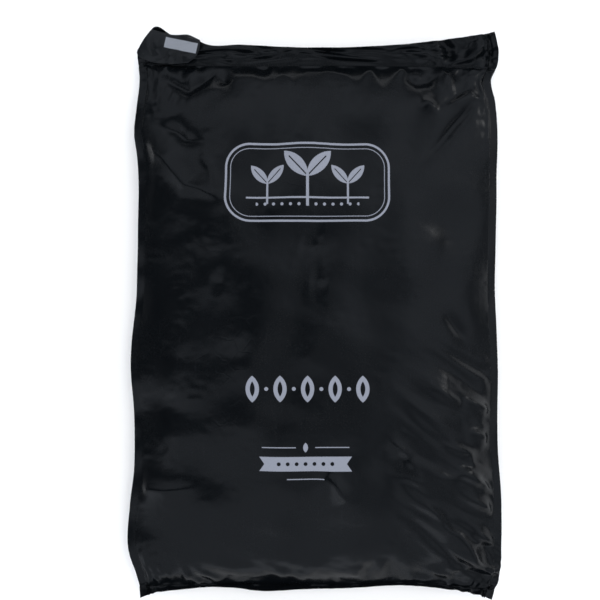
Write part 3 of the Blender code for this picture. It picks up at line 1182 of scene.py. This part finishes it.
@dataclass(frozen=True)
class FrontPrint:
    """Generic print in one ink: sprouts in a frame, a row of seeds, and a banner between thin rules.

    Places are counted from the middle of the bag for the three motifs, and from the motif's middle for
    its parts. A name in half holds half a width and half a height, and one in end where a row stops.
    """

    leaf_at: Span = (0.0105, 0.0140)
    leaf_half: Span = (0.0165, 0.0068)
    leaf_turn: float = -42.0
    vein_half: float = 0.0006
    vein_end: float = 0.010
    stem_y: float = -0.010
    stem_half: Span = (0.0013, 0.0150)

    emblem_at: Span = (-0.0096, 0.1644)
    frame_half: Span = (0.1010, 0.0480)
    frame_radius: float = 0.030
    frame_line: float = 0.0026
    frame_gap: float = 0.0055
    inner_line: float = 0.0009
    tall_at: Span = (0.0, 0.0040)
    tall_size: float = 1.35
    side_at: Span = (0.0500, -0.0035)
    side_size: float = 0.95
    soil_y: float = -0.0195
    soil_half: Span = (0.0760, 0.0011)
    grains_y: float = -0.0275
    grains_pitch: float = 0.0105
    grains_end: float = 0.064

    seeds_at: Span = (-0.0096, -0.0914)
    seeds_pitch: float = 0.0340
    seeds_end: float = 0.0840
    seed_half: Span = (0.0165, 0.0082)
    hollow_half: Span = (0.0095, 0.0030)
    between_end: float = 0.0600

    banner_at: Span = (-0.0120, -0.1840)
    banner_half: Span = (0.0510, 0.0090)
    notch: float = 0.7
    bare_pitch: float = 0.0110
    bare_end: float = 0.0360
    rules_y: float = 0.0205
    rules_x: float = 0.0330
    rules_half: Span = (0.0210, 0.0006)
    bud_half: Span = (0.0060, 0.0030)
    foot_y: float = -0.0190
    foot_half: Span = (0.0230, 0.0006)

    small_grain: float = 0.0019
    grain: float = 0.0024
    softness: float = 0.00035

    def sprout(self, maker: NodeMaker, x: Value, y: Value, size: float) -> Value:
        """A stem with a pair of leaves: leaves mirrored in X and tilted, with veins, over an upright bar.

        Args:
            maker: Adds the nodes.
            x: Place across, from the middle of the sprout.
            y: Place along, from the middle of the sprout.
            size: The sprout's size, where 1 is about 40 mm across.

        Returns:
            The distance outside it, negative inside.
        """
        from_leaf = abs(x) - self.leaf_at[0] * size, y - self.leaf_at[1] * size
        leaf_x, leaf_y = turned(*from_leaf, self.leaf_turn)
        leaves = leaf(maker, leaf_x, leaf_y, self.leaf_half[0] * size, self.leaf_half[1] * size)
        vein = (abs(leaf_x) - self.vein_half * size).at_least(leaf_y - self.vein_end * size)
        stem = slab(x, y - self.stem_y * size, self.stem_half[0] * size, self.stem_half[1] * size)
        return leaves.at_least(vein * -1.0).at_most(stem)

    def emblem(self, maker: NodeMaker, x: Value, y: Value) -> Value:
        """A double rounded frame round three sprouts that stand on a line of soil over a row of grains.

        Args:
            maker: Adds the nodes.
            x: Place across, from the middle of the frame.
            y: Place along, from the middle of the frame.

        Returns:
            The distance outside it, negative inside.
        """
        wide, high = self.frame_half
        gap = self.frame_gap
        outer = abs(round_slab(maker, x, y, self.frame_half, self.frame_radius)) - self.frame_line / 2
        inner = abs(round_slab(maker, x, y, (wide - gap, high - gap), self.frame_radius - gap))
        inner = inner - self.inner_line / 2
        tall = self.sprout(maker, x - self.tall_at[0], y - self.tall_at[1], self.tall_size)
        side = self.sprout(maker, abs(x) - self.side_at[0], y - self.side_at[1], self.side_size)
        soil = slab(x, y - self.soil_y, *self.soil_half)
        grains = disc(maker, from_nearest(maker, x, self.grains_pitch), y - self.grains_y, self.small_grain)
        grains = grains.at_least(abs(x) - self.grains_end)
        return outer.at_most(inner).at_most(tall).at_most(side).at_most(soil).at_most(grains)

    def seeds(self, maker: NodeMaker, x: Value, y: Value) -> Value:
        """A row of upright seeds with a hollow in each and a grain between each two.

        Args:
            maker: Adds the nodes.
            x: Place across, from the middle of the row.
            y: Place along, from the middle of the row.

        Returns:
            The distance outside it, negative inside.
        """
        near = from_nearest(maker, x, self.seeds_pitch)
        seed = leaf(maker, near, y, *self.seed_half).at_least(abs(x) - self.seeds_end)
        hollow = leaf(maker, near, y, *self.hollow_half)
        between = from_nearest(maker, x - self.seeds_pitch / 2, self.seeds_pitch)
        grain = disc(maker, between, y, self.grain).at_least(abs(x) - self.between_end)
        return seed.at_least(hollow * -1.0).at_most(grain)

    def banner(self, maker: NodeMaker, x: Value, y: Value) -> Value:
        """A solid banner with notched ends and a row of grains left bare, between thin rules.

        Args:
            maker: Adds the nodes.
            x: Place across, from the middle of the banner.
            y: Place along, from the middle of the banner.

        Returns:
            The distance outside it, negative inside.
        """
        half_x, half_y = self.banner_half
        band = (abs(y) - half_y).at_least(abs(x) - abs(y) * self.notch - half_x)
        bare = disc(maker, from_nearest(maker, x, self.bare_pitch), y, self.grain)
        bare = bare.at_least(abs(x) - self.bare_end)
        rule = slab(abs(x) - self.rules_x, y - self.rules_y, *self.rules_half)
        bud = leaf(maker, x, y - self.rules_y, *self.bud_half)
        foot = slab(x, y - self.foot_y, *self.foot_half)
        return band.at_least(bare * -1.0).at_most(rule).at_most(bud).at_most(foot)

    def mask(self, maker: NodeMaker) -> Value:
        """Where the film carries ink.

        Args:
            maker: Adds the nodes.

        Returns:
            1 inside the print's shapes, with a soft edge either side of their outlines.
        """
        x, y, _ = maker.split(maker.uv("print"))
        x, y = x - PRINT_MIDDLE, y - PRINT_MIDDLE
        emblem = self.emblem(maker, x - self.emblem_at[0], y - self.emblem_at[1])
        seeds = self.seeds(maker, x - self.seeds_at[0], y - self.seeds_at[1])
        banner = self.banner(maker, x - self.banner_at[0], y - self.banner_at[1])
        return emblem.at_most(seeds).at_most(banner).step(self.softness, -self.softness)


@dataclass(frozen=True)
class FilmFinish:
    """Black polyethylene film: half glossy, faintly scuffed, with lines along it from its making.

    rubbed is the greyer colour of the folded corner, and pale that of the blank field on it. A scale is
    in hills to the metre, a pair of scales holds those across and along, and heights are in metres.
    """

    black: tuple[float, float, float, float] = (0.0018, 0.0024, 0.0031, 1.0)
    scuffed: tuple[float, float, float, float] = (0.012, 0.014, 0.017, 1.0)
    ink: tuple[float, float, float, float] = (0.215, 0.227, 0.266, 1.0)
    pale: tuple[float, float, float, float] = (0.180, 0.192, 0.215, 1.0)
    rubbed: tuple[float, float, float, float] = (0.0062, 0.0071, 0.0082, 1.0)
    roughness: float = 0.26
    ink_roughness: float = 0.46
    specular: float = 0.14
    rub: float = 0.8
    ink_wear: float = 0.14
    worn_scale: float = 900.0
    worn_step: Span = (0.30, 0.42)
    cloud_scale: float = 14.0
    cloud_step: Span = (0.45, 0.72)
    cloud_roughness: float = 0.16
    fine_scale: float = 260.0
    fine_roughness: float = 0.10
    streak_scales: Span = (420.0, 9.0)
    scuff_step: Span = (0.30, 0.52)
    scuff_share: float = 0.5
    scuff_roughness: float = 0.10
    dimple_scale: float = 70.0
    dimple_height: float = 0.00030
    grain_scale: float = 520.0
    grain_height: float = 0.00003
    drawn_scales: Span = (160.0, 1.5)
    drawn_height: float = 0.00005
    wander_scale: float = 30.0
    wander: float = 0.020
    cell_scale: float = 38.0
    patch_scale: float = 9.0
    patch_step: Span = (0.50, 0.68)
    crinkle_width: float = 0.055
    crinkle_height: float = 0.00008
    pale_at: Span = (-0.1690, 0.3393)
    pale_half: Span = (0.0205, 0.0066)
    pale_turn: float = -11.7
    pale_softness: float = 0.0004
    front_print: FrontPrint = field(default_factory=FrontPrint)

    def shader(self, name: str) -> tuple[bpy.types.Material, NodeMaker, bpy.types.Node]:
        """Starts a material.

        Args:
            name: The material's name.

        Returns:
            The material, a maker for its nodes and its Principled BSDF.
        """
        material = bpy.data.materials.new(name)
        material.use_nodes = True
        shader = material.node_tree.nodes["Principled BSDF"]
        shader.inputs["Specular IOR Level"].default_value = self.specular
        material.diffuse_color = self.black
        return material, NodeMaker(material.node_tree), shader

    def film_layers(self, maker: NodeMaker) -> tuple[Value, Value, Value]:
        """The bare film: scuffs in cloudy patches, dimples, a fine grain and lines drawn out along it.

        Args:
            maker: Adds the nodes.

        Returns:
            Colour, roughness, and height in metres.
        """
        place = maker.uv("film")
        across, along, _ = maker.split(place)
        cloudy = maker.noise(place, self.cloud_scale, 3.0)
        fine = maker.noise(place, self.fine_scale, 3.0, 0.6)
        drawn_out = maker.join(across * self.streak_scales[0], along * self.streak_scales[1], 0.0)
        streaks = maker.noise(drawn_out, 1.0, 2.0)
        scuffs = (fine * streaks).step(*self.scuff_step) * cloudy.step(*self.cloud_step)
        colour = maker.mix(scuffs * self.scuff_share, self.black, self.scuffed)
        roughness = self.roughness + (cloudy - 0.5) * self.cloud_roughness
        roughness = roughness + (fine - 0.5) * self.fine_roughness + scuffs * self.scuff_roughness
        dimples = maker.noise(place, self.dimple_scale) * self.dimple_height
        grain = maker.noise(place, self.grain_scale) * self.grain_height
        lines = maker.join(across * self.drawn_scales[0], along * self.drawn_scales[1], 0.0)
        drawn = maker.noise(lines, 1.0, 1.0) * self.drawn_height
        return colour, roughness, dimples + grain + drawn

    def crinkles(self, maker: NodeMaker, place: Value) -> Value:
        """The fine creases that handling leaves: thin lines between random cells, in patches.

        Args:
            maker: Adds the nodes.
            place: Place on the flat film.

        Returns:
            Their height in metres.
        """
        wander = maker.noise(place, self.wander_scale) * self.wander
        wander = maker.join(wander, wander, 0.0)
        moved = maker.node("ShaderNodeVectorMath", {"operation": "ADD"}, {0: place, 1: wander})
        edges = {"feature": "DISTANCE_TO_EDGE"}
        cells = maker.node("ShaderNodeTexVoronoi", edges, {"Vector": moved, "Scale": self.cell_scale})
        patches = maker.noise(place, self.patch_scale).step(*self.patch_step)
        return cells.step(self.crinkle_width, 0.0) * patches * self.crinkle_height

    def dress_film(self, name: str) -> bpy.types.Material:
        """Makes the bag's material: the film with its print.

        Args:
            name: The material's name.

        Returns:
            The material.
        """
        material, maker, shader = self.shader(name)
        colour, roughness, height = self.film_layers(maker)
        ink = self.front_print.mask(maker)
        place = maker.uv("film")
        worn = maker.noise(place, self.worn_scale, 2.0, 0.6).step(*self.worn_step)
        cover = ink * (worn * self.ink_wear + (1.0 - self.ink_wear))
        colour = maker.mix(cover, colour, self.ink)
        roughness = roughness + (self.ink_roughness - self.roughness) * ink
        height = height + self.crinkles(maker, place)
        self.connect(maker, shader, colour, roughness, height)
        return material

    def dress_flap(self, name: str) -> bpy.types.Material:
        """Makes the folded corner's material: rubbed film with its pale field.

        Args:
            name: The material's name.

        Returns:
            The material.
        """
        material, maker, shader = self.shader(name)
        colour, roughness, height = self.film_layers(maker)
        colour = maker.mix(self.rub, colour, self.rubbed)
        x, y, _ = maker.split(maker.uv("print"))
        at, half = self.pale_at, self.pale_half
        from_field = x - PRINT_MIDDLE - at[0], y - PRINT_MIDDLE - at[1]
        field_x, field_y = turned(*from_field, self.pale_turn)
        pale = slab(field_x, field_y, *half).step(self.pale_softness, -self.pale_softness)
        colour = maker.mix(pale, colour, self.pale)
        roughness = roughness + (self.ink_roughness - self.roughness) * pale
        self.connect(maker, shader, colour, roughness, height)
        return material

    def connect(
        self, maker: NodeMaker, shader: bpy.types.Node, colour: Value, roughness: Value, height: Value
    ) -> None:
        """Feeds the layers to the shader.

        Args:
            maker: Adds the nodes.
            shader: The Principled BSDF.
            colour: The colour.
            roughness: The roughness.
            height: The height that the bump is made from, in metres.
        """
        bump = maker.node("ShaderNodeBump", {}, {"Height": height, "Distance": 1.0, "Strength": 1.0})
        maker.tree.links.new(colour.socket, shader.inputs["Base Color"])
        maker.tree.links.new(roughness.socket, shader.inputs["Roughness"])
        maker.tree.links.new(bump.socket, shader.inputs["Normal"])


def new_object(name: str, points: Array, faces: Array, uv: dict[str, Array]) -> bpy.types.Object:
    """A smooth mesh object with sharp edges where its faces turn by more than SHARP_ANGLE.

    Args:
        name: The object's name.
        points: Its vertices.
        faces: Quads as vertex numbers.
        uv: For each UV map, the coordinates of every corner of every quad.

    Returns:
        The object, linked to the scene.
    """
    mesh = bpy.data.meshes.new(name)
    mesh.from_pydata(points.tolist(), [], faces.tolist())
    for map_name, corners in uv.items():
        mesh.uv_layers.new(name=map_name).data.foreach_set("uv", corners.astype(np.float32).ravel())
    mesh.shade_smooth()
    mesh.set_sharp_from_angle(angle=float(np.radians(SHARP_ANGLE)))
    made = bpy.data.objects.new(name, mesh)
    bpy.context.scene.collection.objects.link(made)
    return made


@dataclass(frozen=True)
class Level:
    """A grid that the film settles on: its fineness, and the passes and random nudges made on it."""

    fineness: int
    passes: int
    nudge: float
    seed: int


@dataclass
class FilledBag:
    """The filled bag: its film, wrinkled, with the print on its front.

    Each level is twice as fine as the last.
    """

    form: BagForm
    finish: FilmFinish
    slack: Slack = field(default_factory=Slack)
    crumples: Crumples = field(default_factory=Crumples)
    levels: tuple[Level, ...] = (
        Level(1, 160, 0.0012, 3),
        Level(2, 120, 0.00030, 4),
        Level(4, 90, 0.00008, 5),
    )
    bending: float = 0.012
    sharpening: float = 1.6
    grain_height: float = 0.00009
    grain_pitch: float = 0.016
    patch_pitch: float = 0.080
    patch_range: Span = (-0.5, 1.5)
    grain_fullness: float = 0.3
    most_wrinkle: float = 0.012

    def wrinkled(self) -> tuple[Film, Array]:
        """Lets the film settle on each level in turn, from where the last one left it.

        Returns:
            The film on its finest grid, and its points.
        """
        first, *finer = self.levels
        film = Film(self.form, self.slack, self.form.tube(first.fineness))
        points = film.settle(film.start(first.seed, first.nudge), first.passes, self.bending)
        for level in finer:
            moved = doubled(points - film.base)
            film = Film(self.form, self.slack, self.form.tube(level.fineness))
            chance = np.random.default_rng(level.seed)
            shake = level.nudge * chance.standard_normal(film.target.shape)[..., None] * film.normals
            points = film.settle(film.base + moved + shake, level.passes, self.bending)
            LOG.info("film settled at fineness %d", level.fineness)
        return film, points

    def finished_points(self, film: Film, points: Array) -> Array:
        """Adds what the settled film lacks.

        Bulges are held below most_wrinkle by a hyperbolic tangent. The folds get sharper. The grain of
        the compost and the crumples are added along the normals, and those of the flanges upwards.

        Args:
            film: The film on its finest grid.
            points: Its settled points.

        Returns:
            The points of the mesh.
        """
        moved = points - film.base
        out = np.einsum("...k,...k->...", moved, film.normals)
        held = self.most_wrinkle * np.tanh(out / self.most_wrinkle)
        patches = random_waves(film.flat_u, film.flat_v, self.patch_pitch, seed=22).clip(*self.patch_range)
        grain = random_waves(film.flat_u, film.flat_v, self.grain_pitch, seed=21) * patches
        lying = np.clip(film.base[..., 2] / NEAR_FLOOR, 0.0, 1.0)
        lying = lying * np.clip(film.full / self.grain_fullness, 0.0, 1.0)
        x, y = film.base[..., 0], film.base[..., 1]
        seam_rows = np.flatnonzero(film.tube.flange[:, 0] == 0.0)[[-1, 0]]
        seams = tuple(np.abs(y[row] - y) for row in seam_rows)
        out = held - out + self.grain_height * grain * lying + self.sharpening * film.folds()
        out = out + self.crumples.of_front(film.tube, x, y, seams)
        done = points + out[..., None] * film.normals
        done[..., 2] = np.maximum(done[..., 2] + self.crumples.of_flanges(film.tube, x, y), 0.0)
        return done

    def faces(self, tube: Tube) -> Array:
        """Quads of the tube, and of the strips that close it at its two ends, all facing out.

        Args:
            tube: The film's grid.

        Returns:
            The quads, as vertex numbers.
        """
        rows, columns = tube.s.shape
        number = np.arange(rows * columns).reshape(rows, columns)
        right = np.roll(number, -1, axis=1)
        wall = np.stack([number[:-1], right[:-1], right[1:], number[1:]], axis=-1).reshape(-1, 4)
        side = tube.side
        front = np.arange(0, side)
        mirror = (columns - front) % columns
        low = np.stack([front, mirror, mirror - 1, front + 1], axis=-1)
        top = (rows - 1) * columns
        high = np.stack([front, front + 1, mirror - 1, mirror], axis=-1) + top
        low = np.where(low < 0, low + columns, low)
        high = np.where(high < top, high + columns, high)
        return np.concatenate([wall, low[1:-1], high[1:-1]])

    def print_map(self, tube: Tube, faces: Array) -> Array:
        """The UV map of the print: x and y in plan from PRINT_MIDDLE, with the whole back film off the print.

        Args:
            tube: The film's grid.
            faces: The quads.

        Returns:
            The coordinates of every corner of every quad.
        """
        x, y = self.form.plan(tube)
        on_back = np.broadcast_to(~tube.is_front, x.shape)
        plan = np.stack([x + PRINT_MIDDLE + OFF_PRINT * on_back, y + PRINT_MIDDLE], axis=-1).reshape(-1, 2)
        corners = plan[faces]
        behind = corners[..., 0].max(axis=1, keepdims=True) > PRINT_MIDDLE + OFF_PRINT / 2
        corners[..., 0] = np.where(behind, PRINT_MIDDLE + OFF_PRINT, corners[..., 0])
        return corners

    def film_map(self, film: Film, points: Array, faces: Array) -> Array:
        """The UV map of the film: places on the flat film, counted on past its girth where a quad closes it.

        Args:
            film: The film.
            points: Its settled points.
            faces: The quads.

        Returns:
            The coordinates of every corner of every quad.
        """
        rows, columns = film.tube.s.shape
        flat = np.stack([film.flat_u, film.flat_v], axis=-1).reshape(-1, 2)
        corners = flat[faces]
        closing = (faces % columns).max(axis=1) - (faces % columns).min(axis=1) > columns // 2
        girth = lengths_between(points[rows // 2, -1], points[rows // 2, 0]) + film.flat_u[0, -1]
        passed = closing[:, None] & (corners[..., 0] < 0.5 * girth)
        corners[..., 0] = np.where(passed, corners[..., 0] + girth, corners[..., 0])
        return corners

    def build(self) -> bpy.types.Object:
        """Makes the bag's object and gives it its place in the frame.

        Returns:
            The object.
        """
        film, points = self.wrinkled()
        tube = film.tube
        done = self.finished_points(film, points)
        faces = self.faces(tube)
        maps = {"film": self.film_map(film, points, faces), "print": self.print_map(tube, faces)}
        made = new_object("bag_film", done.reshape(-1, 3), faces, maps)
        self.close_ends(made, self.end_triangles(tube))
        made.data.materials.append(self.finish.dress_film("printed_film"))
        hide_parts("bag")
        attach(made, "root")
        return made

    def end_triangles(self, tube: Tube) -> list[tuple[int, int, int]]:
        """The four triangles that close the corners of the two end strips.

        Args:
            tube: The film's grid.

        Returns:
            The triangles, as vertex numbers.
        """
        rows, columns = tube.s.shape
        side = tube.side
        top = (rows - 1) * columns
        return [
            (0, columns - 1, 1),
            (side, side - 1, side + 1),
            (top, top + 1, top + columns - 1),
            (top + side, top + side + 1, top + side - 1),
        ]

    def close_ends(self, made: bpy.types.Object, triangles: list[tuple[int, int, int]]) -> None:
        """Adds the triangles to the mesh.

        Args:
            made: The object that is changed.
            triangles: The triangles, as vertex numbers.
        """
        mesh = bmesh.new()
        mesh.from_mesh(made.data)
        mesh.verts.ensure_lookup_table()
        for corners in triangles:
            mesh.faces.new([mesh.verts[i] for i in corners]).smooth = True
        mesh.to_mesh(made.data)
        mesh.free()


@dataclass(frozen=True)
class CornerFlap:
    """The film's top left corner, folded over on to the front, in a hairpin along its upper edge.

    Its four edges are routes of points (x, y) in plan. Its surface is the Coons patch between them: the
    two ways of going straight across it, added, less the flat patch through its corners.

    Of the way across the flap, under_share is how far the hairpin's lower film reaches back, and
    edge_share is what its round edge takes.
    """

    form: BagForm
    finish: FilmFinish
    upper: Pairs = ((-0.2063, 0.3600), (-0.1816, 0.3531), (-0.1576, 0.3518), (-0.1450, 0.3461))
    lower: Pairs = ((-0.2219, 0.3247), (-0.2055, 0.3184), (-0.1892, 0.3159), (-0.1601, 0.3171))
    left: Pairs = ((-0.2063, 0.3600), (-0.2207, 0.3386), (-0.2245, 0.3297), (-0.2219, 0.3247))
    right: Pairs = ((-0.1450, 0.3461), (-0.1463, 0.3335), (-0.1501, 0.3247), (-0.1601, 0.3171))
    lift: float = 0.0036
    tip_lift: float = 0.0030
    roll: float = 0.0011
    clearance: float = 0.0022
    crease: float = 0.0009
    crease_pitch: float = 0.020
    tip_start: Span = (0.70, 1.0)
    under_share: float = 0.40
    edge_share: float = 0.04
    bulge_power: float = 0.8
    edge_lift: float = 0.3
    thickness: float = 0.0005
    cells: tuple[int, int] = (120, 64)
    edge_cells: int = 8
    under_cells: int = 12

    def route_at(self, share: Array, route: Pairs) -> Array:
        """Points on a smooth curve through a route's points.

        Args:
            share: Shares of the route's length.
            route: The route.

        Returns:
            The points, x and y.
        """
        corners = np.array(route)
        run = np.concatenate([[0.0], np.cumsum(np.hypot(*np.diff(corners, axis=0).T))])
        run = run / run[-1]
        parts = [smooth_line(share, tuple(zip(run, corners[:, axis]))) for axis in (0, 1)]
        return np.stack(parts, axis=-1)

    def section(self) -> tuple[Array, Array]:
        """The hairpin across the flap: flat below, a half circle at the upper edge, and a low arch above.

        Returns:
            The share of the way to the lower edge, and the height above the flange.
        """
        angle = np.linspace(-np.pi / 2, np.pi / 2, self.edge_cells + 1)
        under = np.linspace(self.under_share, self.edge_share, self.under_cells, endpoint=False)
        over = np.linspace(self.edge_share, 1.0, self.cells[1])[1:]
        across = np.concatenate([under, self.edge_share - self.edge_share * np.cos(angle), over])
        power = self.bulge_power
        bulge = self.lift * np.sin(np.pi * over**power) ** power + self.edge_lift * self.lift * over
        round_edge = self.roll * (1.0 + np.sin(angle))
        return across, np.concatenate([np.zeros(len(under)), round_edge, 2.0 * self.roll + bulge])

    def points(self) -> Array:
        """The patch's points, each at its height over the flange, with creases and a lifted right end.

        Returns:
            The points, with rows along the flap.
        """
        across, height = self.section()
        along = np.linspace(0.0, 1.0, self.cells[0] + 1)
        a, b = along[:, None, None], across[None, :, None]
        upper, lower = self.route_at(along, self.upper), self.route_at(along, self.lower)
        left, right = self.route_at(across, self.left), self.route_at(across, self.right)
        plan = (1.0 - b) * upper[:, None] + b * lower[:, None] + (1.0 - a) * left[None] + a * right[None]
        first, last = (1.0 - b) * upper[0] + b * lower[0], (1.0 - b) * upper[-1] + b * lower[-1]
        plan = plan - (1.0 - a) * first - a * last
        x, y = plan[..., 0], plan[..., 1]
        top = height > 2.0 * self.roll
        creases = self.crease * facets(x, y, self.crease_pitch, seed=51, count=4)
        out = creases * ramp(height, 2.0 * self.roll, 3.0 * self.roll)
        out = out + self.tip_lift * ramp(along, *self.tip_start)[:, None] * (across * top)[None]
        seal = self.form.seal + self.form.top_curl + self.clearance
        return np.stack([x, y, seal + height[None] + out], axis=-1)

    def build(self) -> bpy.types.Object:
        """Makes the flap's object and gives it its place in the frame.

        Its print map is x and y in plan from PRINT_MIDDLE, with the lower film moved off the pale field.

        Returns:
            The object.
        """
        points = self.points()
        rows, columns = points.shape[:2]
        number = np.arange(rows * columns).reshape(rows, columns)
        corners = [number[:-1, :-1], number[:-1, 1:], number[1:, 1:], number[1:, :-1]]
        faces = np.stack(corners, axis=-1).reshape(-1, 4)
        flat = points.reshape(-1, 3)
        over = np.repeat((self.section()[1] > self.roll)[None], rows, axis=0).ravel()
        plan = flat[:, :2] + PRINT_MIDDLE + np.stack([OFF_PRINT * ~over, 0.0 * over], axis=-1)
        made = new_object("corner_flap", flat, faces, {"film": flat[:, :2][faces], "print": plan[faces]})
        wall = made.modifiers.new("wall", "SOLIDIFY")
        wall.thickness = self.thickness
        wall.offset = 0.0
        made.data.materials.append(self.finish.dress_flap("flap_film"))
        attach(made, "root")
        return made


@dataclass(frozen=True)
class Softbox:
    """A square lamp that faces a place on the bag."""

    name: str
    place: tuple[float, float, float]
    target: tuple[float, float, float]
    size: float
    power: float

    def build(self) -> None:
        """Adds the lamp."""
        light = bpy.data.lights.new(self.name, "AREA")
        light.shape = "SQUARE"
        light.size = self.size
        light.energy = self.power
        lamp = bpy.data.objects.new(self.name, light)
        lamp.location = self.place
        way = Vector(self.target) - Vector(self.place)
        lamp.rotation_euler = way.to_track_quat("-Z", "Y").to_euler()
        lamp.visible_camera = False
        bpy.context.scene.collection.objects.link(lamp)


@dataclass(frozen=True)
class Glow:
    """A part of the surroundings that differs from the rest, in one direction.

    It grows as the direction reaches along way from start to end, and as its height goes from low to high.
    """

    way: tuple[float, float, float]
    start: float
    end: float
    strength: float
    low: float = 0.0
    high: float = 0.02

    def light(self, maker: NodeMaker, direction: Value, height: Value) -> Value:
        """Its light: strength times a smooth rise of the reach, and a smooth rise of the height.

        Args:
            maker: Adds the nodes.
            direction: The direction that is looked in.
            height: The direction's Z.

        Returns:
            The light in that direction.
        """
        along = {0: direction, 1: self.way}
        reach = maker.node("ShaderNodeVectorMath", {"operation": "DOT_PRODUCT"}, along, output="Value")
        return reach.step(self.start, self.end) * height.step(self.low, self.high) * self.strength


@dataclass(frozen=True)
class Studio:
    """A white floor, soft daylight, surroundings that are dark on the left, and a camera straight above.

    The film mirrors the surroundings. glows add light to around, and shade takes it away at the left, in
    a band about shade_middle that fades out over shade_breadth. Below the horizon all is white, except
    at the far left. The floor is split at floor_left, outside the picture, and the sheet beyond it shows
    in no gloss, so that the left of the film stays dark.
    """

    frame_width: float = 0.7566
    focus_height: float = 0.075
    lens: float = 150.0
    aim: Span = (-0.0189, 0.0183)
    floor_size: float = 40.0
    floor_left: float = -0.43
    floor_colour: tuple[float, float, float, float] = (0.93, 0.93, 0.93, 1.0)
    sun_strength: float = 1.65
    sun_softness: float = 25.0
    sun_way: tuple[float, float, float] = (0.04, 0.03, 1.0)
    around: float = 0.18
    sky_tint: tuple[float, float, float] = (0.93, 1.0, 1.12)
    sun_tint: tuple[float, float, float] = (1.04, 1.0, 0.93)
    shade: Glow = Glow((-1.0, 0.0, 0.0), 0.02, 0.34, 0.97)
    far_left: Glow = Glow((-1.0, 0.0, 0.0), 0.05, 0.40, 1.0, -2.0, -1.5)
    shade_breadth: Span = (0.21, 0.14)
    shade_middle: float = 0.04
    horizon: Span = (0.04, 0.0)
    glows: tuple[Glow, ...] = (
        Glow((0.0, 0.0, 1.0), 0.20, 0.85, 0.30),
        Glow((0.85, 0.53, 0.0), -0.05, 0.75, 0.88, 0.12, 0.42),
        Glow((0.0, 1.0, 0.0), 0.05, 0.40, 0.17, 0.45, 0.75),
        Glow((-0.35, -0.94, 0.0), 0.15, 0.55, 0.42),
        Glow((-0.5, -0.87, 0.0), 0.62, 0.85, 0.95, 0.38, 0.20),
        Glow((-0.8, 0.6, 0.0), 0.34, 0.60, 0.62, 0.25, 0.50),
        Glow((-0.75, -0.66, 0.0), 0.05, 0.45, 0.30),
    )
    lamp: Softbox = Softbox("lamp_corner", (2.2, 1.2, 0.75), (0.0, 0.0, 0.08), 0.50, 5.0)

    def build_floor(self) -> None:
        """The floor: a flat sheet of a single pale colour, of which the far left shows in no gloss."""
        material = bpy.data.materials.new("pale_floor")
        material.use_nodes = True
        shader = material.node_tree.nodes["Principled BSDF"]
        shader.inputs["Base Color"].default_value = self.floor_colour
        shader.inputs["Roughness"].default_value = 1.0
        shader.inputs["Specular IOR Level"].default_value = 0.0
        half = self.floor_size / 2
        self.build_sheet("floor", (self.floor_left, half), material)
        self.build_sheet("floor_far_left", (-half, self.floor_left), material).visible_glossy = False

    def build_sheet(self, name: str, across: Span, material: bpy.types.Material) -> bpy.types.Object:
        """One sheet of floor, from the first x of across to the second, and as long as the floor.

        Args:
            name: The sheet's name.
            across: Where it starts and ends in x.
            material: The floor's finish.

        Returns:
            The sheet.
        """
        half = self.floor_size / 2
        (left, right), near, far = across, -half, half
        corners = np.array([[left, near, 0.0], [right, near, 0.0], [right, far, 0.0], [left, far, 0.0]])
        sheet = new_object(name, corners, np.array([[0, 1, 2, 3]]), {})
        sheet.data.materials.append(material)
        return sheet

    def build_world(self) -> None:
        """The surroundings: dim overhead, brighter to three sides, dark at the left and white below."""
        world = bpy.data.worlds.new("studio")
        world.use_nodes = True
        bpy.context.scene.world = world
        background = world.node_tree.nodes["Background"]
        maker = NodeMaker(world.node_tree)
        direction = maker.node("ShaderNodeTexCoord", {}, {}, output="Generated")
        _, along, height = maker.split(direction)
        light = sum((glow.light(maker, direction, height) for glow in self.glows), self.around)
        dark = self.shade.light(maker, direction, height)
        light = light * (1.0 - dark * abs(along - self.shade_middle).step(*self.shade_breadth))
        white = height.step(*self.horizon) * (1.0 - self.far_left.light(maker, direction, height))
        light = light + (1.0 - light) * white
        scaled = {0: self.sky_tint, "Scale": light}
        tinted = maker.node("ShaderNodeVectorMath", {"operation": "SCALE"}, scaled)
        world.node_tree.links.new(tinted.socket, background.inputs["Color"])
        background.inputs["Strength"].default_value = 1.0

    def build_sun(self) -> None:
        """Daylight from above: soft, even over the whole floor, and kept out of the film's gloss."""
        light = bpy.data.lights.new("daylight", "SUN")
        light.energy = self.sun_strength
        light.color = self.sun_tint
        light.angle = float(np.radians(self.sun_softness))
        lamp = bpy.data.objects.new("daylight", light)
        lamp.rotation_euler = Vector(self.sun_way).to_track_quat("Z", "Y").to_euler()
        lamp.visible_glossy = False
        bpy.context.scene.collection.objects.link(lamp)

    def build_camera(self) -> None:
        """The camera, looking straight down with the bag's top at the top of the picture."""
        camera = bpy.data.cameras.new("camera")
        camera.lens = self.lens
        distance = self.frame_width * self.lens / camera.sensor_width
        holder = bpy.data.objects.new("camera", camera)
        holder.location = (*self.aim, self.focus_height + distance)
        bpy.context.scene.collection.objects.link(holder)
        bpy.context.scene.camera = holder

    def build(self) -> None:
        """Adds floor, world, daylight, lamp and camera, with colours that are shown as they are."""
        self.build_floor()
        self.build_world()
        self.build_sun()
        self.lamp.build()
        self.build_camera()
        bpy.context.scene.view_settings.view_transform = "Standard"


def main() -> None:
    """Builds the studio and the bag."""
    logging.basicConfig(level=logging.INFO, format="%(name)s: %(message)s")
    low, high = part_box("bag")
    form = BagForm(length=high[1] - low[1], width=high[0] - low[0])
    Studio().build()
    bag = FilledBag(form, FilmFinish()).build()
    flap = CornerFlap(form, FilmFinish()).build()
    for piece in (bag, flap):
        LOG.info("%s: %d faces", piece.name, len(piece.data.polygons))


if __name__ == "__main__":
    main()
